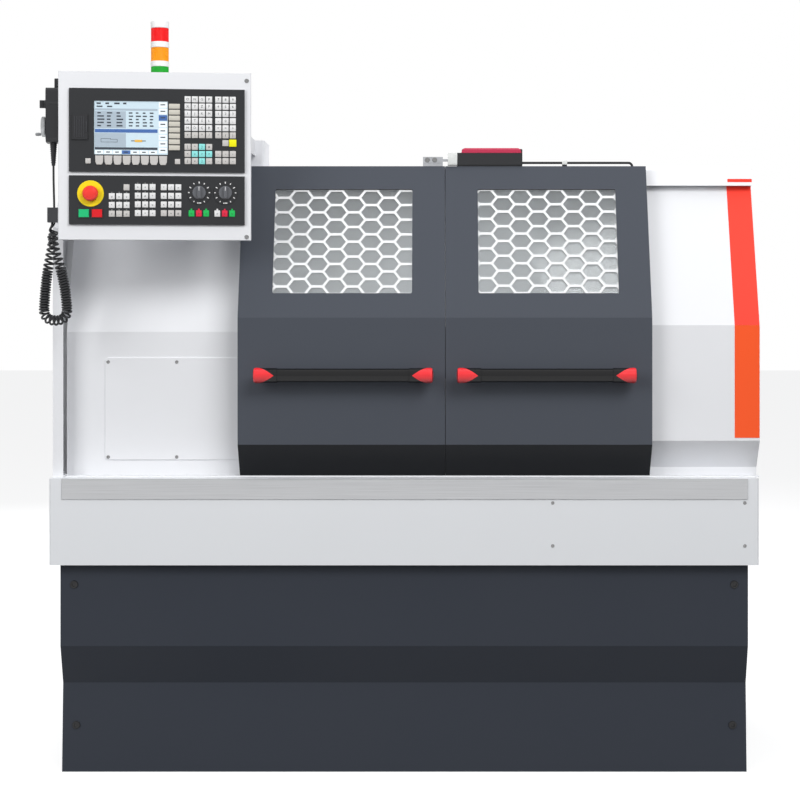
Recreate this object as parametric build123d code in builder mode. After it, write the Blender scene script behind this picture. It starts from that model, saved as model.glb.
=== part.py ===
from build123d import *
import math
import os

# A cabinet-enclosed CNC turning lathe with two sliding doors, in millimetres.
# X is to the right, Y to the back and Z up. The origin is on the floor, under the middle of the tray.

os.makedirs("parts", exist_ok=True)

# Overall sizes
tray_width = 1718
front_y = -500
back_y = 400
base_height = 511
tray_height = 210
roof_z = 1490
sheet = 4

# Base cabinet
base_side_inset = 22
base_front_inset = 30
band_top = 311
band_bottom = 215.5
band_setback = 34
toe_setback = 20

# Brushed trim strip on the tray
strip_left = -829
strip_right = 832
strip_low = 670.6
strip_height = 49.7
strip_thick = 3

# Doors
door_low = 724
door_low_fold = 803
door_high_fold = 1110.5
door_top = 1488
door_undercut = 56
door_setback = 142
door_depth = 22
left_door_x = (-403, 99.5)
right_door_x = (101, 601)
window_low = 1170
window_high = 1429
left_window_x = (-321, 19)
right_window_x = (181, 523)

# Honeycomb guard in each window
cell_pitch = 43.5
cell_rise = 39.4
cell_flat = 30
cell_web = 6.6
mesh_thick = 3
mesh_border = 10
pane_thick = 6
left_cell_start = (-169.7, 1409)
right_cell_start = (286.7, 1411)

# Bar handles
handle_z = 972
handle_radius = 18.5
handle_standoff = 40
handle_post_radius = 9
handle_cap = 52
left_handle_x = (-363, 72)
right_handle_x = (126, 560.6)

# Covers beside the doors
cover_y = -462
cover_top_y = -322
left_cover_y = -418
cover_top = 1463
left_fold = 1075
right_fold = 1092
left_cover_x = (-832, -345)
right_cover_x = (560, 868)
right_low_fold = 810
right_low_setback = 49
end_panel_x = (-857, -832)
end_panel_kink = 1330
access_x = (-738, -383)
access_z = (760, 1011.5)
access_corner = 10
access_thick = 3

# Guide ways, bed and spindle line
spindle_y = -80
spindle_z = 1010
bed_top = 830
bed_x = (-745, 800)
bed_y = (-230, 70)
bed_height = 150
way_width = 46
way_height = 18
bed_channel = 120
bed_foot_x = (-600, 470)
bed_foot = (260, 300)

# Headstock, spindle and chuck
headstock_x = (-735, -425)
headstock_top = 1165
bearing_radius = 50
fit_gap = 0.05
spindle_bore = 26
spindle_left = -810
chuck_x = (-400, -310)
chuck_radius = 100
chuck_bore = 30
jaw_slot = (30, 20)
jaw_clear = 0.1
jaw_inner = 34
jaw_outer = 92
jaw_height = 25

# Belt drive
pulley_x = (-800, -765)
spindle_pulley_radius = 72
motor_pulley_radius = 45
belt_thick = 5
belt_clear = 0.3
motor_y = 190
motor_z = 770
motor_radius = 95
motor_x = (-735, -480)
motor_shaft = 19

# Long feed
screw_y = -276
screw_z = 775
screw_radius = 16
screw_x = (-400, 690)
screw_block = 40
servo_x = (690, 838)
servo_size = 90
saddle_x = (-40, 320)
saddle_y = (-310, 200)
saddle_top = 865
nut_clear = 0.3

# Cross slide and turret
slide_x = (108, 300)
slide_y = (-150, 290)
slide_top = 905
dovetail_width = 90
dovetail_height = 14
turret_y = 180
turret_radius = 92
turret_x = (60, 100)
turret_head_size = 170
turret_stations = 8
tool_radius = 128
tool_size = 22

# Tailstock
tail_x = (540, 700)
tail_radius = 62
tail_foot_height = 50
quill_radius = 30
quill_x = (462, 690)
centre_length = 42
tail_wheel_radius = 70
tail_wheel_x = (704, 722)

# Control box, hung on a swivel and turned to the right
box_centre = (-591, -576)
box_turn = 6
box_width = 455
box_low = 1296
box_high = 1695
box_depth_low = 40
box_depth_high = 100
box_depth_z = 1500
panel_thick = 6
screen_panel = (-202, 212, 1457, 1655)
machine_panel_area = (-202, 212, 1332, 1448)
pivot = (-412, -415)
pivot_radius = 20
arm_radius = 35
arm_low = 1516
arm_high = 1555
pivot_boss_radius = 32
pivot_boss_high = 1640
housing_x = (-520, -354)
housing_y = (-325, -180)

# Keys, buttons and dials on the two panels, as places across the box and heights
key_size = 14
key_rise = 1.2
screen_area = (-143, 30, 1498, 1625)
# Each block of keys has its centre, its pitch and its counts, across and up
screen_key_blocks = [
    ((-56, 1485.5), (21.4, 1), (8, 1)),
    ((46, 1564), (1, 14.4), (1, 8)),
    ((102.2, 1588), (16.9, 17), (4, 6)),
    ((166.5, 1588), (17.2, 17), (3, 6)),
    ((102.2, 1500.5), (16.9, 17), (4, 3)),
    ((166.5, 1492.5), (17.2, 17), (3, 2)),
    ((175, 1527), (17.2, 17), (2, 1)),
]
machine_key_blocks = [
    ((-84.2, 1378), (17.3, 20.7), (3, 3)),
    ((-66.9, 1420), (17.3, 20.7), (1, 1)),
    ((-23.2, 1390), (17.3, 20.7), (3, 4)),
    ((37.7, 1390), (17.2, 20.6), (3, 4)),
    ((103.3, 1360.4), (17.4, 17), (3, 1)),
    ((164.5, 1360.4), (17.4, 17), (3, 1)),
]
port_area = (-194, -158, 1532.5, 1592.5)
port_flap_thick = 3
port_flap_gap = 0.3
stop_at = (-151.3, 1404.7)
stop_disc_radius = 31
stop_radius = 18.7
stop_travel = 4
button_size = (24, 19)
start_at = (-167, 1357.8)
halt_at = (-136, 1357.8)
feed_dial_at = (104, 1408.5)
spindle_dial_at = (166, 1408.5)
dial_radius = 15.6
dial_height = 16

# Hand pulse generator on the box's left side
pendant_low = 1528
pendant_high = 1658
pendant_thick = 31
pendant_width = 74
pendant_setback = 12
pendant_wheel_z = 1567
pendant_wheel_radius = 24
pendant_knob_z = 1621

# Pendant cord and its curly stretch
cord_radius = 3.25
coil_radius = 13
cord_route = [
    (-837.8, -552.7, 1474),
    (-837.8, -552.7, 1437),
    (-836, -553, 1387),
    (-836, -553, 1346),
]
coil_route = [
    (-836, -553, 1346),
    (-836, -553, 1300),
    (-845, -559, 1230),
    (-850, -562, 1160),
    (-851, -563, 1104),
    (-799, -575, 1104),
    (-800, -578, 1160),
    (-814, -581, 1228),
    (-835, -583, 1287),
    (-835, -583, 1337),
]

# Interlock on the door tops
switch_x = (130, 293)
switch_z = (1491, 1521)
switch_depth = 34
key_x = (45, 94.5)
key_z = (1496, 1511)
lead_radius = 3
lead_z = 1497
lead_end_x = 568
lead_clip_x = (393, 405)

# Tower light
tower_x = -676
tower_y = 80
tower_radius = 25
lens_radius = 24
stem_radius = 11
tower_base_z = 1720
lens_low = (1755, 1807, 1860)
lens_height = 37
tower_top = 1921

# Rear electrical cabinet
cabinet_x = (-700, 120)
cabinet_z = (640, 1440)
cabinet_depth = 200


def keep(piece, name):
    """Label a finished piece and write it as its own file."""
    piece.part.label = name
    export_step(piece.part, "parts/" + name + ".step")
    print(name, len(piece.part.solids()), round(piece.part.volume))


def side_plane(x):
    """A plane across the machine at x, with sketch axes along Y and Z."""
    return Plane(origin=(x, 0, 0), x_dir=(0, 1, 0), z_dir=(1, 0, 0))


def axis_plane(x, y, z):
    """A plane facing +X with its centre on an axis line that runs along X."""
    return Plane(origin=(x, y, z), x_dir=(0, 1, 0), z_dir=(1, 0, 0))


def radial_plane(x, y, z, turn):
    """A plane facing +X on an axis line along X, with its sketch X pointing out at an angle from +Y."""
    out = (0, math.cos(math.radians(turn)), math.sin(math.radians(turn)))
    return Plane(origin=(x, y, z), x_dir=out, z_dir=(1, 0, 0))


# Base cabinet: one welded box whose front leans in above the toe space
base_half = tray_width / 2 - base_side_inset
base_face = front_y + base_front_inset
base_outline = [
    (back_y, 0),
    (base_face + toe_setback, 0),
    (base_face + band_setback, band_bottom),
    (base_face, band_top),
    (base_face, base_height),
    (back_y, base_height),
]
with BuildPart() as base_cabinet:
    with BuildSketch(side_plane(-base_half)):
        with BuildLine():
            Polyline(*base_outline, close=True)
        make_face()
    extrude(amount=2 * base_half)
    # The service hatch recess in the back
    with BuildSketch(Plane.XZ.offset(-back_y)):
        with Locations((0, base_height / 2)):
            RectangleRounded(base_half, base_height / 2, 20)
    extrude(amount=8, mode=Mode.SUBTRACT)
keep(base_cabinet, "base_cabinet")

# Front panel: one folded sheet that follows the cabinet's front
front_outline = [
    (base_face + toe_setback, 0),
    (base_face + band_setback, band_bottom),
    (base_face, band_top),
    (base_face, base_height),
]
with BuildPart() as base_front_panel:
    with BuildSketch(side_plane(-base_half)):
        with BuildLine():
            Polyline(*[(y - sheet, z) for y, z in front_outline], *reversed(front_outline), close=True)
        make_face()
    extrude(amount=2 * base_half)
keep(base_front_panel, "base_front_panel")

# Chip tray: a folded pan, open at the top, which the bed stands in
tray_top = base_height + tray_height
tray_wall = 6
with BuildPart() as chip_tray:
    with BuildSketch(Plane.XY.offset(base_height)):
        with Locations((0, (front_y + back_y) / 2)):
            Rectangle(tray_width, back_y - front_y)
    extrude(amount=tray_height)
    offset(amount=-tray_wall, openings=chip_tray.faces().sort_by(Axis.Z)[-1])
    chamfer(chip_tray.edges().filter_by(Axis.Z).group_by(Axis.Y)[0], 3)
    # The front rim, which the doors' lower rail lies on
    with BuildSketch(Plane.XY.offset(tray_top - tray_wall)):
        with Locations((0, front_y + 50)):
            Rectangle(tray_width - tray_wall, 100 - 2 * tray_wall)
    extrude(amount=tray_wall)
keep(chip_tray, "chip_tray")
tray_floor = base_height + tray_wall

# Trim strip: a thin plate on the tray's front
with BuildPart() as tray_trim_strip:
    with BuildSketch(Plane.XZ.offset(-front_y)):
        with Locations(((strip_left + strip_right) / 2, strip_low + strip_height / 2)):
            Rectangle(strip_right - strip_left, strip_height)
    extrude(amount=strip_thick)
    chamfer(tray_trim_strip.faces().sort_by(Axis.Y)[0].edges(), 1)
keep(tray_trim_strip, "tray_trim_strip")


def folded_shell(outline, x_low, x_high, depth):
    """A sheet folded along an outline, with a return of one depth round its edges."""
    with BuildPart() as shell:
        with BuildSketch(side_plane(x_low)):
            with BuildLine():
                Polyline(*outline)
                offset(amount=depth, kind=Kind.INTERSECTION, side=Side.RIGHT, closed=True)
            make_face()
        extrude(amount=x_high - x_low)
        inner = shell.faces().filter_by(lambda face: face.normal_at().Y > 0.7)
        offset(amount=-sheet, openings=inner)
    return shell.part


# Doors: folded shells whose upper part slopes back and whose foot tucks under
door_outline = [
    (front_y + door_undercut, door_low),
    (front_y, door_low_fold),
    (front_y, door_high_fold),
    (front_y + door_setback, door_top),
]
door_lean = door_setback / (door_top - door_high_fold)
lean_angle = math.atan(door_lean)
window_mid_z = (window_low + window_high) / 2
window_length = (window_high - window_low) / math.cos(lean_angle)


def window_plane(depth):
    """The door's sloping face at mid window, moved in by a depth, with its sketch Y up the slope."""
    middle = (0, front_y + door_lean * (window_mid_z - door_high_fold), window_mid_z)
    outward = (0, -math.cos(lean_angle), math.sin(lean_angle))
    return Plane(origin=middle, x_dir=(1, 0, 0), z_dir=outward).offset(-depth)


def sliding_door(x_ends, window_x):
    """One door shell with its window cut through the sloping face."""
    with BuildPart() as door:
        add(folded_shell(door_outline, x_ends[0], x_ends[1], door_depth))
        with BuildSketch(window_plane(-1)):
            with Locations((sum(window_x) / 2, 0)):
                RectangleRounded(window_x[1] - window_x[0], window_length, 4)
        extrude(amount=-sheet - 2, mode=Mode.SUBTRACT)
    return door


left_door = sliding_door(left_door_x, left_window_x)
right_door = sliding_door(right_door_x, right_window_x)
keep(left_door, "left_door")
keep(right_door, "right_door")

# Honeycomb guards: plates of stretched six-sided cells, behind each window
cell_half = cell_pitch - cell_flat / 2


def honeycomb(window_x, first_cell):
    """A guard plate whose cells are counted from one cell's centre."""
    width = window_x[1] - window_x[0]
    middle = sum(window_x) / 2
    first_x, first_z = first_cell
    first_up = (first_z - window_mid_z) / math.cos(lean_angle)
    columns = range(-10, 11)
    cells = []
    for column in columns:
        across = first_x + column * cell_pitch
        for row in range(-10, 11):
            up = first_up + (row + (column % 2) / 2) * cell_rise
            if abs(across - middle) < width / 2 + cell_half and abs(up) < window_length / 2 + cell_rise / 2:
                cells.append((across, up))
    slim = cell_web / 2
    corners = [
        (cell_half - slim, 0),
        (cell_flat / 2 - slim / 2, cell_rise / 2 - slim),
        (slim / 2 - cell_flat / 2, cell_rise / 2 - slim),
        (slim - cell_half, 0),
        (slim / 2 - cell_flat / 2, slim - cell_rise / 2),
        (cell_flat / 2 - slim / 2, slim - cell_rise / 2),
    ]
    with BuildPart() as plate:
        with BuildSketch(window_plane(sheet + mesh_thick)):
            with Locations((middle, 0)):
                Rectangle(width, window_length)
            with Locations(*cells):
                Polygon(*corners, align=None, mode=Mode.SUBTRACT)
        extrude(amount=mesh_thick)
        with BuildSketch(window_plane(sheet + mesh_thick)):
            with Locations((middle, 0)):
                Rectangle(width + 2 * mesh_border, window_length + 2 * mesh_border)
                Rectangle(width, window_length, mode=Mode.SUBTRACT)
        extrude(amount=mesh_thick)
    return plate


left_mesh = honeycomb(left_window_x, left_cell_start)
right_mesh = honeycomb(right_window_x, right_cell_start)
keep(left_mesh, "left_mesh")
keep(right_mesh, "right_mesh")


def window_pane(window_x):
    """A safety pane behind the guard."""
    with BuildPart() as pane:
        with BuildSketch(window_plane(sheet + mesh_thick + pane_thick)):
            with Locations((sum(window_x) / 2, 0)):
                Rectangle(window_x[1] - window_x[0] + 2 * mesh_border, window_length + 2 * mesh_border)
        extrude(amount=pane_thick)
    return pane


left_window = window_pane(left_window_x)
right_window = window_pane(right_window_x)
keep(left_window, "left_window")
keep(right_window, "right_window")


# Bar handles: a round bar between two rounded caps, on two posts
def bar_handle(x_ends):
    """One horizontal bar handle that stands off the door's upright face."""
    axis_y = front_y - handle_standoff
    low, high = x_ends
    with BuildPart() as handle:
        with BuildSketch(axis_plane(low, axis_y, handle_z)):
            Circle(handle_radius)
        extrude(amount=high - low)
        ends = handle.faces().filter_by(Axis.X).edges()
        chamfer(ends, handle_radius * 0.4)
        with BuildSketch(Plane.XZ.offset(-axis_y)):
            with Locations((low + handle_cap / 2, handle_z), (high - handle_cap / 2, handle_z)):
                Circle(handle_post_radius)
        extrude(amount=-handle_standoff)
        with BuildSketch(axis_plane(low + handle_cap, axis_y, handle_z)):
            Circle(handle_radius + 1)
            Circle(handle_radius - 1, mode=Mode.SUBTRACT)
        extrude(amount=high - low - 2 * handle_cap, mode=Mode.SUBTRACT)
    return handle


left_handle = bar_handle(left_handle_x)
right_handle = bar_handle(right_handle_x)
keep(left_handle, "left_handle")
keep(right_handle, "right_handle")

# Left cover: a folded shell beside the door, with a jamb return
left_cover_outline = [
    (left_cover_y, tray_top),
    (left_cover_y, left_fold),
    (left_cover_y + door_lean * (cover_top - left_fold), cover_top),
]
cover_depth = 40
with BuildPart() as left_cover:
    add(folded_shell(left_cover_outline, left_cover_x[0], left_cover_x[1], cover_depth))
keep(left_cover, "left_cover")

# Access panel: a screwed plate on the left cover
with BuildPart() as access_panel:
    with BuildSketch(Plane.XZ.offset(-left_cover_y)):
        with Locations((sum(access_x) / 2, sum(access_z) / 2)):
            RectangleRounded(access_x[1] - access_x[0], access_z[1] - access_z[0], access_corner)
    extrude(amount=access_thick)
    chamfer(access_panel.faces().sort_by(Axis.Y)[0].edges(), 0.8)
keep(access_panel, "access_panel")

# Right cover: a folded shell with a foot that leans in, and the machine's right wall
right_cover_outline = [
    (cover_y + right_low_setback, tray_top),
    (cover_y + right_low_setback, tray_top + 21),
    (cover_y, right_low_fold),
    (cover_y, right_fold),
    (cover_top_y, cover_top),
]
with BuildPart() as right_cover:
    add(folded_shell(right_cover_outline, right_cover_x[0], right_cover_x[1], cover_depth))
    with BuildSketch(side_plane(right_cover_x[1] - sheet)):
        with BuildLine():
            Polyline(
                *right_cover_outline,
                (back_y - sheet, cover_top),
                (back_y - sheet, tray_top),
                close=True,
            )
        make_face()
    extrude(amount=sheet)
keep(right_cover, "right_cover")

# Left end panel: a pressed panel whose front edge stands upright as a column
end_outline = [
    (cover_y - 4, tray_top),
    (cover_y - 4, end_panel_kink),
    (cover_top_y + 10, roof_z),
    (back_y, roof_z),
    (back_y, tray_top),
]
with BuildPart() as left_end_panel:
    with BuildSketch(side_plane(end_panel_x[0])):
        with BuildLine():
            Polyline(*end_outline, close=True)
        make_face()
    extrude(amount=end_panel_x[1] - end_panel_x[0])
    offset(amount=-sheet, openings=left_end_panel.faces().sort_by(Axis.X)[-1])
keep(left_end_panel, "left_end_panel")

# Roof: a shallow pan turned over, whose front follows the covers' slope
roof_low = cover_top + 2
roof_outline = [
    (cover_top_y + 1, roof_low),
    (cover_top_y + 10, roof_z),
    (back_y, roof_z),
    (back_y, roof_low),
]
with BuildPart() as roof_panel:
    with BuildSketch(side_plane(left_cover_x[0])):
        with BuildLine():
            Polyline(*roof_outline, close=True)
        make_face()
    extrude(amount=right_cover_x[1] - left_cover_x[0])
    offset(amount=-sheet, openings=roof_panel.faces().sort_by(Axis.Z)[0])
keep(roof_panel, "roof_panel")

# Rear panel: a sheet between the end walls, up to the roof
with BuildPart() as rear_panel:
    with BuildSketch(Plane.XZ.offset(-back_y)):
        with Locations(((left_cover_x[0] + right_cover_x[1]) / 2, (tray_top + roof_low) / 2)):
            Rectangle(right_cover_x[1] - left_cover_x[0], roof_low - tray_top)
    extrude(amount=sheet)
keep(rear_panel, "rear_panel")

# Door rails: the lower guide on the tray's rim and the upper guide on the covers
lower_rail_y = (front_y + door_undercut - 13, front_y + door_undercut + 13)
rail_seat = 0.3
upper_rail_z = (1440, 1480)


def door_back(z):
    """Where the door's returns end, at a height on the slope."""
    return front_y + door_lean * (z - door_high_fold) + door_depth / math.cos(lean_angle)


def cover_face(z):
    """The right cover's sloping face at a height."""
    return cover_y + (cover_top_y - cover_y) * (z - right_fold) / (cover_top - right_fold)


upper_rail_outline = [
    (door_back(upper_rail_z[0]) + 2 * rail_seat, upper_rail_z[0]),
    (door_back(upper_rail_z[1]) + 2 * rail_seat, upper_rail_z[1]),
    (cover_face(upper_rail_z[1]) - rail_seat, upper_rail_z[1]),
    (cover_face(upper_rail_z[0]) - rail_seat, upper_rail_z[0]),
]
with BuildPart() as door_rails:
    with BuildSketch(side_plane(left_cover_x[0])):
        with BuildLine():
            Polyline(*upper_rail_outline, close=True)
        make_face()
        with Locations((sum(lower_rail_y) / 2, (tray_top + door_low - rail_seat) / 2)):
            Rectangle(lower_rail_y[1] - lower_rail_y[0], door_low - rail_seat - tray_top)
    extrude(amount=right_cover_x[1] - left_cover_x[0])
keep(door_rails, "door_rails")

# Electrical cabinet on the back, with a door seam and cooling slots
cabinet_mid = (sum(cabinet_x) / 2, sum(cabinet_z) / 2)
cabinet_size = (cabinet_x[1] - cabinet_x[0], cabinet_z[1] - cabinet_z[0])
with BuildPart() as electrical_cabinet:
    with BuildSketch(Plane.XZ.offset(-back_y - cabinet_depth)):
        with Locations(cabinet_mid):
            Rectangle(*cabinet_size)
    extrude(amount=cabinet_depth)
    chamfer(electrical_cabinet.edges().filter_by(Axis.Z).group_by(Axis.Y)[-1], 6)
    with BuildSketch(Plane.XZ.offset(-back_y - cabinet_depth)):
        with Locations(cabinet_mid):
            Rectangle(cabinet_size[0] - 60, cabinet_size[1] - 60)
            Rectangle(cabinet_size[0] - 66, cabinet_size[1] - 66, mode=Mode.SUBTRACT)
        with Locations((cabinet_mid[0], cabinet_z[0] + 150)):
            with GridLocations(1, 24, 1, 6):
                SlotOverall(240, 9)
    extrude(amount=4, mode=Mode.SUBTRACT)
keep(electrical_cabinet, "electrical_cabinet")

# Bed: a ribbed casting with two raised guide ways, a chip channel and two feet
bed_mid_y = sum(bed_y) / 2
bed_half = (bed_y[1] - bed_y[0]) / 2
bed_low = bed_top - bed_height
way_y = bed_half - way_width / 2
with BuildPart() as bed:
    with BuildSketch(side_plane(bed_x[0])):
        with Locations((bed_mid_y, (bed_low + bed_top - way_height) / 2)):
            Rectangle(2 * bed_half - 16, bed_height - way_height)
        with Locations((bed_mid_y, bed_top - way_height)):
            Rectangle(bed_channel, bed_height, mode=Mode.SUBTRACT)
    extrude(amount=bed_x[1] - bed_x[0])
    # The ways, with a bevel on their outer edges
    with BuildSketch(side_plane(bed_x[0])):
        way_mid_z = bed_top - way_height / 2
        with Locations((bed_mid_y - way_y, way_mid_z), (bed_mid_y + way_y, way_mid_z)):
            Rectangle(way_width, way_height)
    extrude(amount=bed_x[1] - bed_x[0])
    chamfer(bed.edges().filter_by(Axis.X).group_by(Axis.Z)[-1], 4)
    # Cross ribs in the channel
    with BuildSketch(Plane.XY.offset(bed_low)):
        with Locations((sum(bed_x) / 2, bed_mid_y)):
            with GridLocations(300, 1, 5, 1):
                Rectangle(24, bed_channel)
    extrude(amount=bed_height - way_height - 30)
    # The feet, drawn in towards the bed
    with BuildSketch(Plane.XY.offset(tray_floor)):
        with Locations((bed_foot_x[0], bed_mid_y), (bed_foot_x[1], bed_mid_y)):
            Rectangle(*bed_foot)
    extrude(amount=bed_low - tray_floor, taper=4)
    # Bearing blocks for the long feed screw, on the front of the bed
    with BuildSketch(side_plane(screw_x[0])):
        with Locations((screw_y, screw_z)):
            Circle(screw_radius + 22)
        with Locations(((screw_y + bed_y[0]) / 2 + 8, screw_z)):
            Rectangle(bed_y[0] - screw_y + 16, 2 * screw_radius + 44)
    extrude(amount=screw_block)
    with BuildSketch(side_plane(screw_x[1] - screw_block)):
        with Locations((screw_y, screw_z)):
            Circle(screw_radius + 22)
        with Locations(((screw_y + bed_y[0]) / 2 + 8, screw_z)):
            Rectangle(bed_y[0] - screw_y + 16, 2 * screw_radius + 44)
    extrude(amount=screw_block)
    with BuildSketch(side_plane(screw_x[0])):
        with Locations((screw_y, screw_z)):
            Circle(screw_radius + fit_gap)
    extrude(amount=screw_x[1] - screw_x[0], mode=Mode.SUBTRACT)
keep(bed, "bed")

# Headstock: a casting bored for the spindle, with a domed top
head_length = headstock_x[1] - headstock_x[0]
head_y = (spindle_y - 150, spindle_y + 150)
with BuildPart() as headstock:
    with BuildSketch(side_plane(headstock_x[0])):
        with BuildLine():
            Polyline(
                (head_y[0], bed_top),
                (head_y[1], bed_top),
                (head_y[1], headstock_top - 70),
                (head_y[1] - 70, headstock_top),
                (head_y[0] + 70, headstock_top),
                (head_y[0], headstock_top - 70),
                close=True,
            )
        make_face()
    extrude(amount=head_length)
    fillet(headstock.edges().filter_by(Axis.X).group_by(Axis.Z)[-1], 18)
    with BuildSketch(axis_plane(headstock_x[0] - 8, spindle_y, spindle_z)):
        Circle(bearing_radius + 34)
    extrude(amount=head_length + 16)
    with BuildSketch(axis_plane(headstock_x[0] - 8, spindle_y, spindle_z)):
        Circle(bearing_radius + fit_gap)
    extrude(amount=head_length + 16, mode=Mode.SUBTRACT)
keep(headstock, "headstock")

# Spindle: a hollow shaft with a nose flange that carries the chuck
nose_radius = bearing_radius + 28
with BuildPart() as spindle:
    with BuildSketch(axis_plane(spindle_left, spindle_y, spindle_z)):
        Circle(bearing_radius)
    extrude(amount=headstock_x[1] + 8.5 - spindle_left)
    with BuildSketch(axis_plane(headstock_x[1] + 8.5, spindle_y, spindle_z)):
        Circle(nose_radius)
    extrude(amount=chuck_x[0] - headstock_x[1] - 8.5)
    with BuildSketch(axis_plane(spindle_left, spindle_y, spindle_z)):
        Circle(spindle_bore)
    extrude(amount=chuck_x[0] - spindle_left, mode=Mode.SUBTRACT)
    chamfer(spindle.faces().sort_by(Axis.X)[0].outer_wire().edges(), 2)
keep(spindle, "spindle")


def grooved_pulley(x_ends, radius, y, z):
    """A belt pulley with a shallow channel between two rims."""
    with BuildPart() as pulley:
        with BuildSketch(axis_plane(x_ends[0], y, z)):
            Circle(radius + belt_thick)
        extrude(amount=x_ends[1] - x_ends[0])
        with BuildSketch(axis_plane(x_ends[0] + 4, y, z)):
            Circle(radius + belt_thick + 1)
            Circle(radius, mode=Mode.SUBTRACT)
        extrude(amount=x_ends[1] - x_ends[0] - 8, mode=Mode.SUBTRACT)
    return pulley


# Spindle pulley, pressed on the spindle's tail
with BuildPart() as spindle_pulley:
    add(grooved_pulley(pulley_x, spindle_pulley_radius, spindle_y, spindle_z).part)
    with BuildSketch(axis_plane(pulley_x[0], spindle_y, spindle_z)):
        Circle(bearing_radius)
    extrude(amount=pulley_x[1] - pulley_x[0], mode=Mode.SUBTRACT)
keep(spindle_pulley, "spindle_pulley")

# Chuck: a turned body with three slots for its jaws
with BuildPart() as chuck_body:
    with BuildSketch(axis_plane(chuck_x[0], spindle_y, spindle_z)):
        Circle(chuck_radius)
    extrude(amount=chuck_x[1] - chuck_x[0])
    chamfer(chuck_body.edges().filter_by(GeomType.CIRCLE), 4)
    with BuildSketch(axis_plane(chuck_x[0], spindle_y, spindle_z)):
        Circle(chuck_bore)
    extrude(amount=chuck_x[1] - chuck_x[0], mode=Mode.SUBTRACT)
    with BuildSketch(axis_plane(chuck_x[1], spindle_y, spindle_z)):
        with PolarLocations(0, 3, 90):
            with Locations((chuck_radius / 2 + 5, 0)):
                Rectangle(chuck_radius + 10, jaw_slot[0])
    extrude(amount=-jaw_slot[1], mode=Mode.SUBTRACT)
keep(chuck_body, "chuck_body")

# Jaws: stepped blocks that slide in the chuck's slots
jaw_width = jaw_slot[0] - 2 * jaw_clear
jaw_foot = chuck_x[1] - jaw_slot[1] + jaw_clear
jaw_face = chuck_x[1] + jaw_height
for number in range(3):
    turn = 90 + 120 * number
    with BuildPart() as jaw:
        with BuildSketch(radial_plane(jaw_foot, spindle_y, spindle_z, turn)):
            with Locations(((jaw_inner + jaw_outer) / 2, 0)):
                Rectangle(jaw_outer - jaw_inner, jaw_width)
        extrude(amount=jaw_face - jaw_foot)
        with BuildSketch(radial_plane(chuck_x[1] + jaw_height / 2, spindle_y, spindle_z, turn)):
            with Locations((jaw_outer - 12, 0)):
                Rectangle(24, jaw_width)
        extrude(amount=jaw_height, mode=Mode.SUBTRACT)
    keep(jaw, "chuck_jaw_" + str(number + 1))

# Spindle motor: a finned body on a foot, behind the bed
motor_face = motor_x[0]
with BuildPart() as spindle_motor:
    with BuildSketch(axis_plane(motor_face, motor_y, motor_z)):
        RectangleRounded(2 * motor_radius - 10, 2 * motor_radius - 10, 30)
    extrude(amount=motor_x[1] - motor_x[0])
    with BuildSketch(axis_plane(motor_face + 20, motor_y, motor_z)):
        with PolarLocations(motor_radius - 5, 4, 0):
            with GridLocations(1, 18, 1, 5):
                Rectangle(14, 8)
    extrude(amount=motor_x[1] - motor_x[0] - 60, mode=Mode.SUBTRACT)
    with BuildSketch(Plane.XY.offset(tray_floor)):
        with Locations(((motor_x[0] + motor_x[1]) / 2, motor_y)):
            Rectangle(180, 150)
    extrude(amount=motor_z - motor_radius + 20 - tray_floor)
    with BuildSketch(axis_plane(motor_face, motor_y, motor_z)):
        Circle(motor_shaft + fit_gap)
    extrude(amount=60, mode=Mode.SUBTRACT)
keep(spindle_motor, "spindle_motor")

# Motor pulley with the motor's shaft in it
with BuildPart() as motor_pulley:
    add(grooved_pulley(pulley_x, motor_pulley_radius, motor_y, motor_z).part)
    with BuildSketch(axis_plane(pulley_x[0], motor_y, motor_z)):
        Circle(motor_shaft)
    extrude(amount=motor_face + 55 - pulley_x[0])
keep(motor_pulley, "motor_pulley")

# Drive belt: a flat loop that wraps both pulleys
span_y = motor_y - spindle_y
span_z = motor_z - spindle_z
span = math.hypot(span_y, span_z)
wrap = math.degrees(math.acos((spindle_pulley_radius - motor_pulley_radius) / span))
belt_place = (pulley_x[0] + 5, spindle_y, spindle_z)
belt_plane = Plane(origin=belt_place, x_dir=(0, span_y, span_z), z_dir=(1, 0, 0))


def belt_outline(extra):
    """The tangent points and far points of the loop, at a distance outside the pulleys."""
    big = spindle_pulley_radius + extra
    small = motor_pulley_radius + extra
    cosine = math.cos(math.radians(wrap))
    sine = math.sin(math.radians(wrap))
    top_left = (big * cosine, big * sine)
    top_right = (span + small * cosine, small * sine)
    low_left = (top_left[0], -top_left[1])
    low_right = (top_right[0], -top_right[1])
    Line(top_left, top_right)
    ThreePointArc(top_right, (span + small, 0), low_right)
    Line(low_right, low_left)
    ThreePointArc(low_left, (-big, 0), top_left)


with BuildPart() as drive_belt:
    with BuildSketch(belt_plane):
        with BuildLine():
            belt_outline(belt_clear + belt_thick - 1)
        make_face()
        with BuildLine():
            belt_outline(belt_clear)
        make_face(mode=Mode.SUBTRACT)
    extrude(amount=pulley_x[1] - pulley_x[0] - 10)
keep(drive_belt, "drive_belt")

# Long feed screw, which turns in the bed's bearing blocks
with BuildPart() as z_ballscrew:
    with BuildSketch(axis_plane(screw_x[0] - 12, screw_y, screw_z)):
        Circle(screw_radius)
    extrude(amount=screw_x[1] - screw_x[0] + 12 + 30)
    with BuildSketch(axis_plane(screw_x[0] - 12, screw_y, screw_z)):
        Circle(screw_radius + 8)
    extrude(amount=11.7)
    chamfer(z_ballscrew.faces().sort_by(Axis.X)[-1].edges(), 2)
keep(z_ballscrew, "z_ballscrew")

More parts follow.
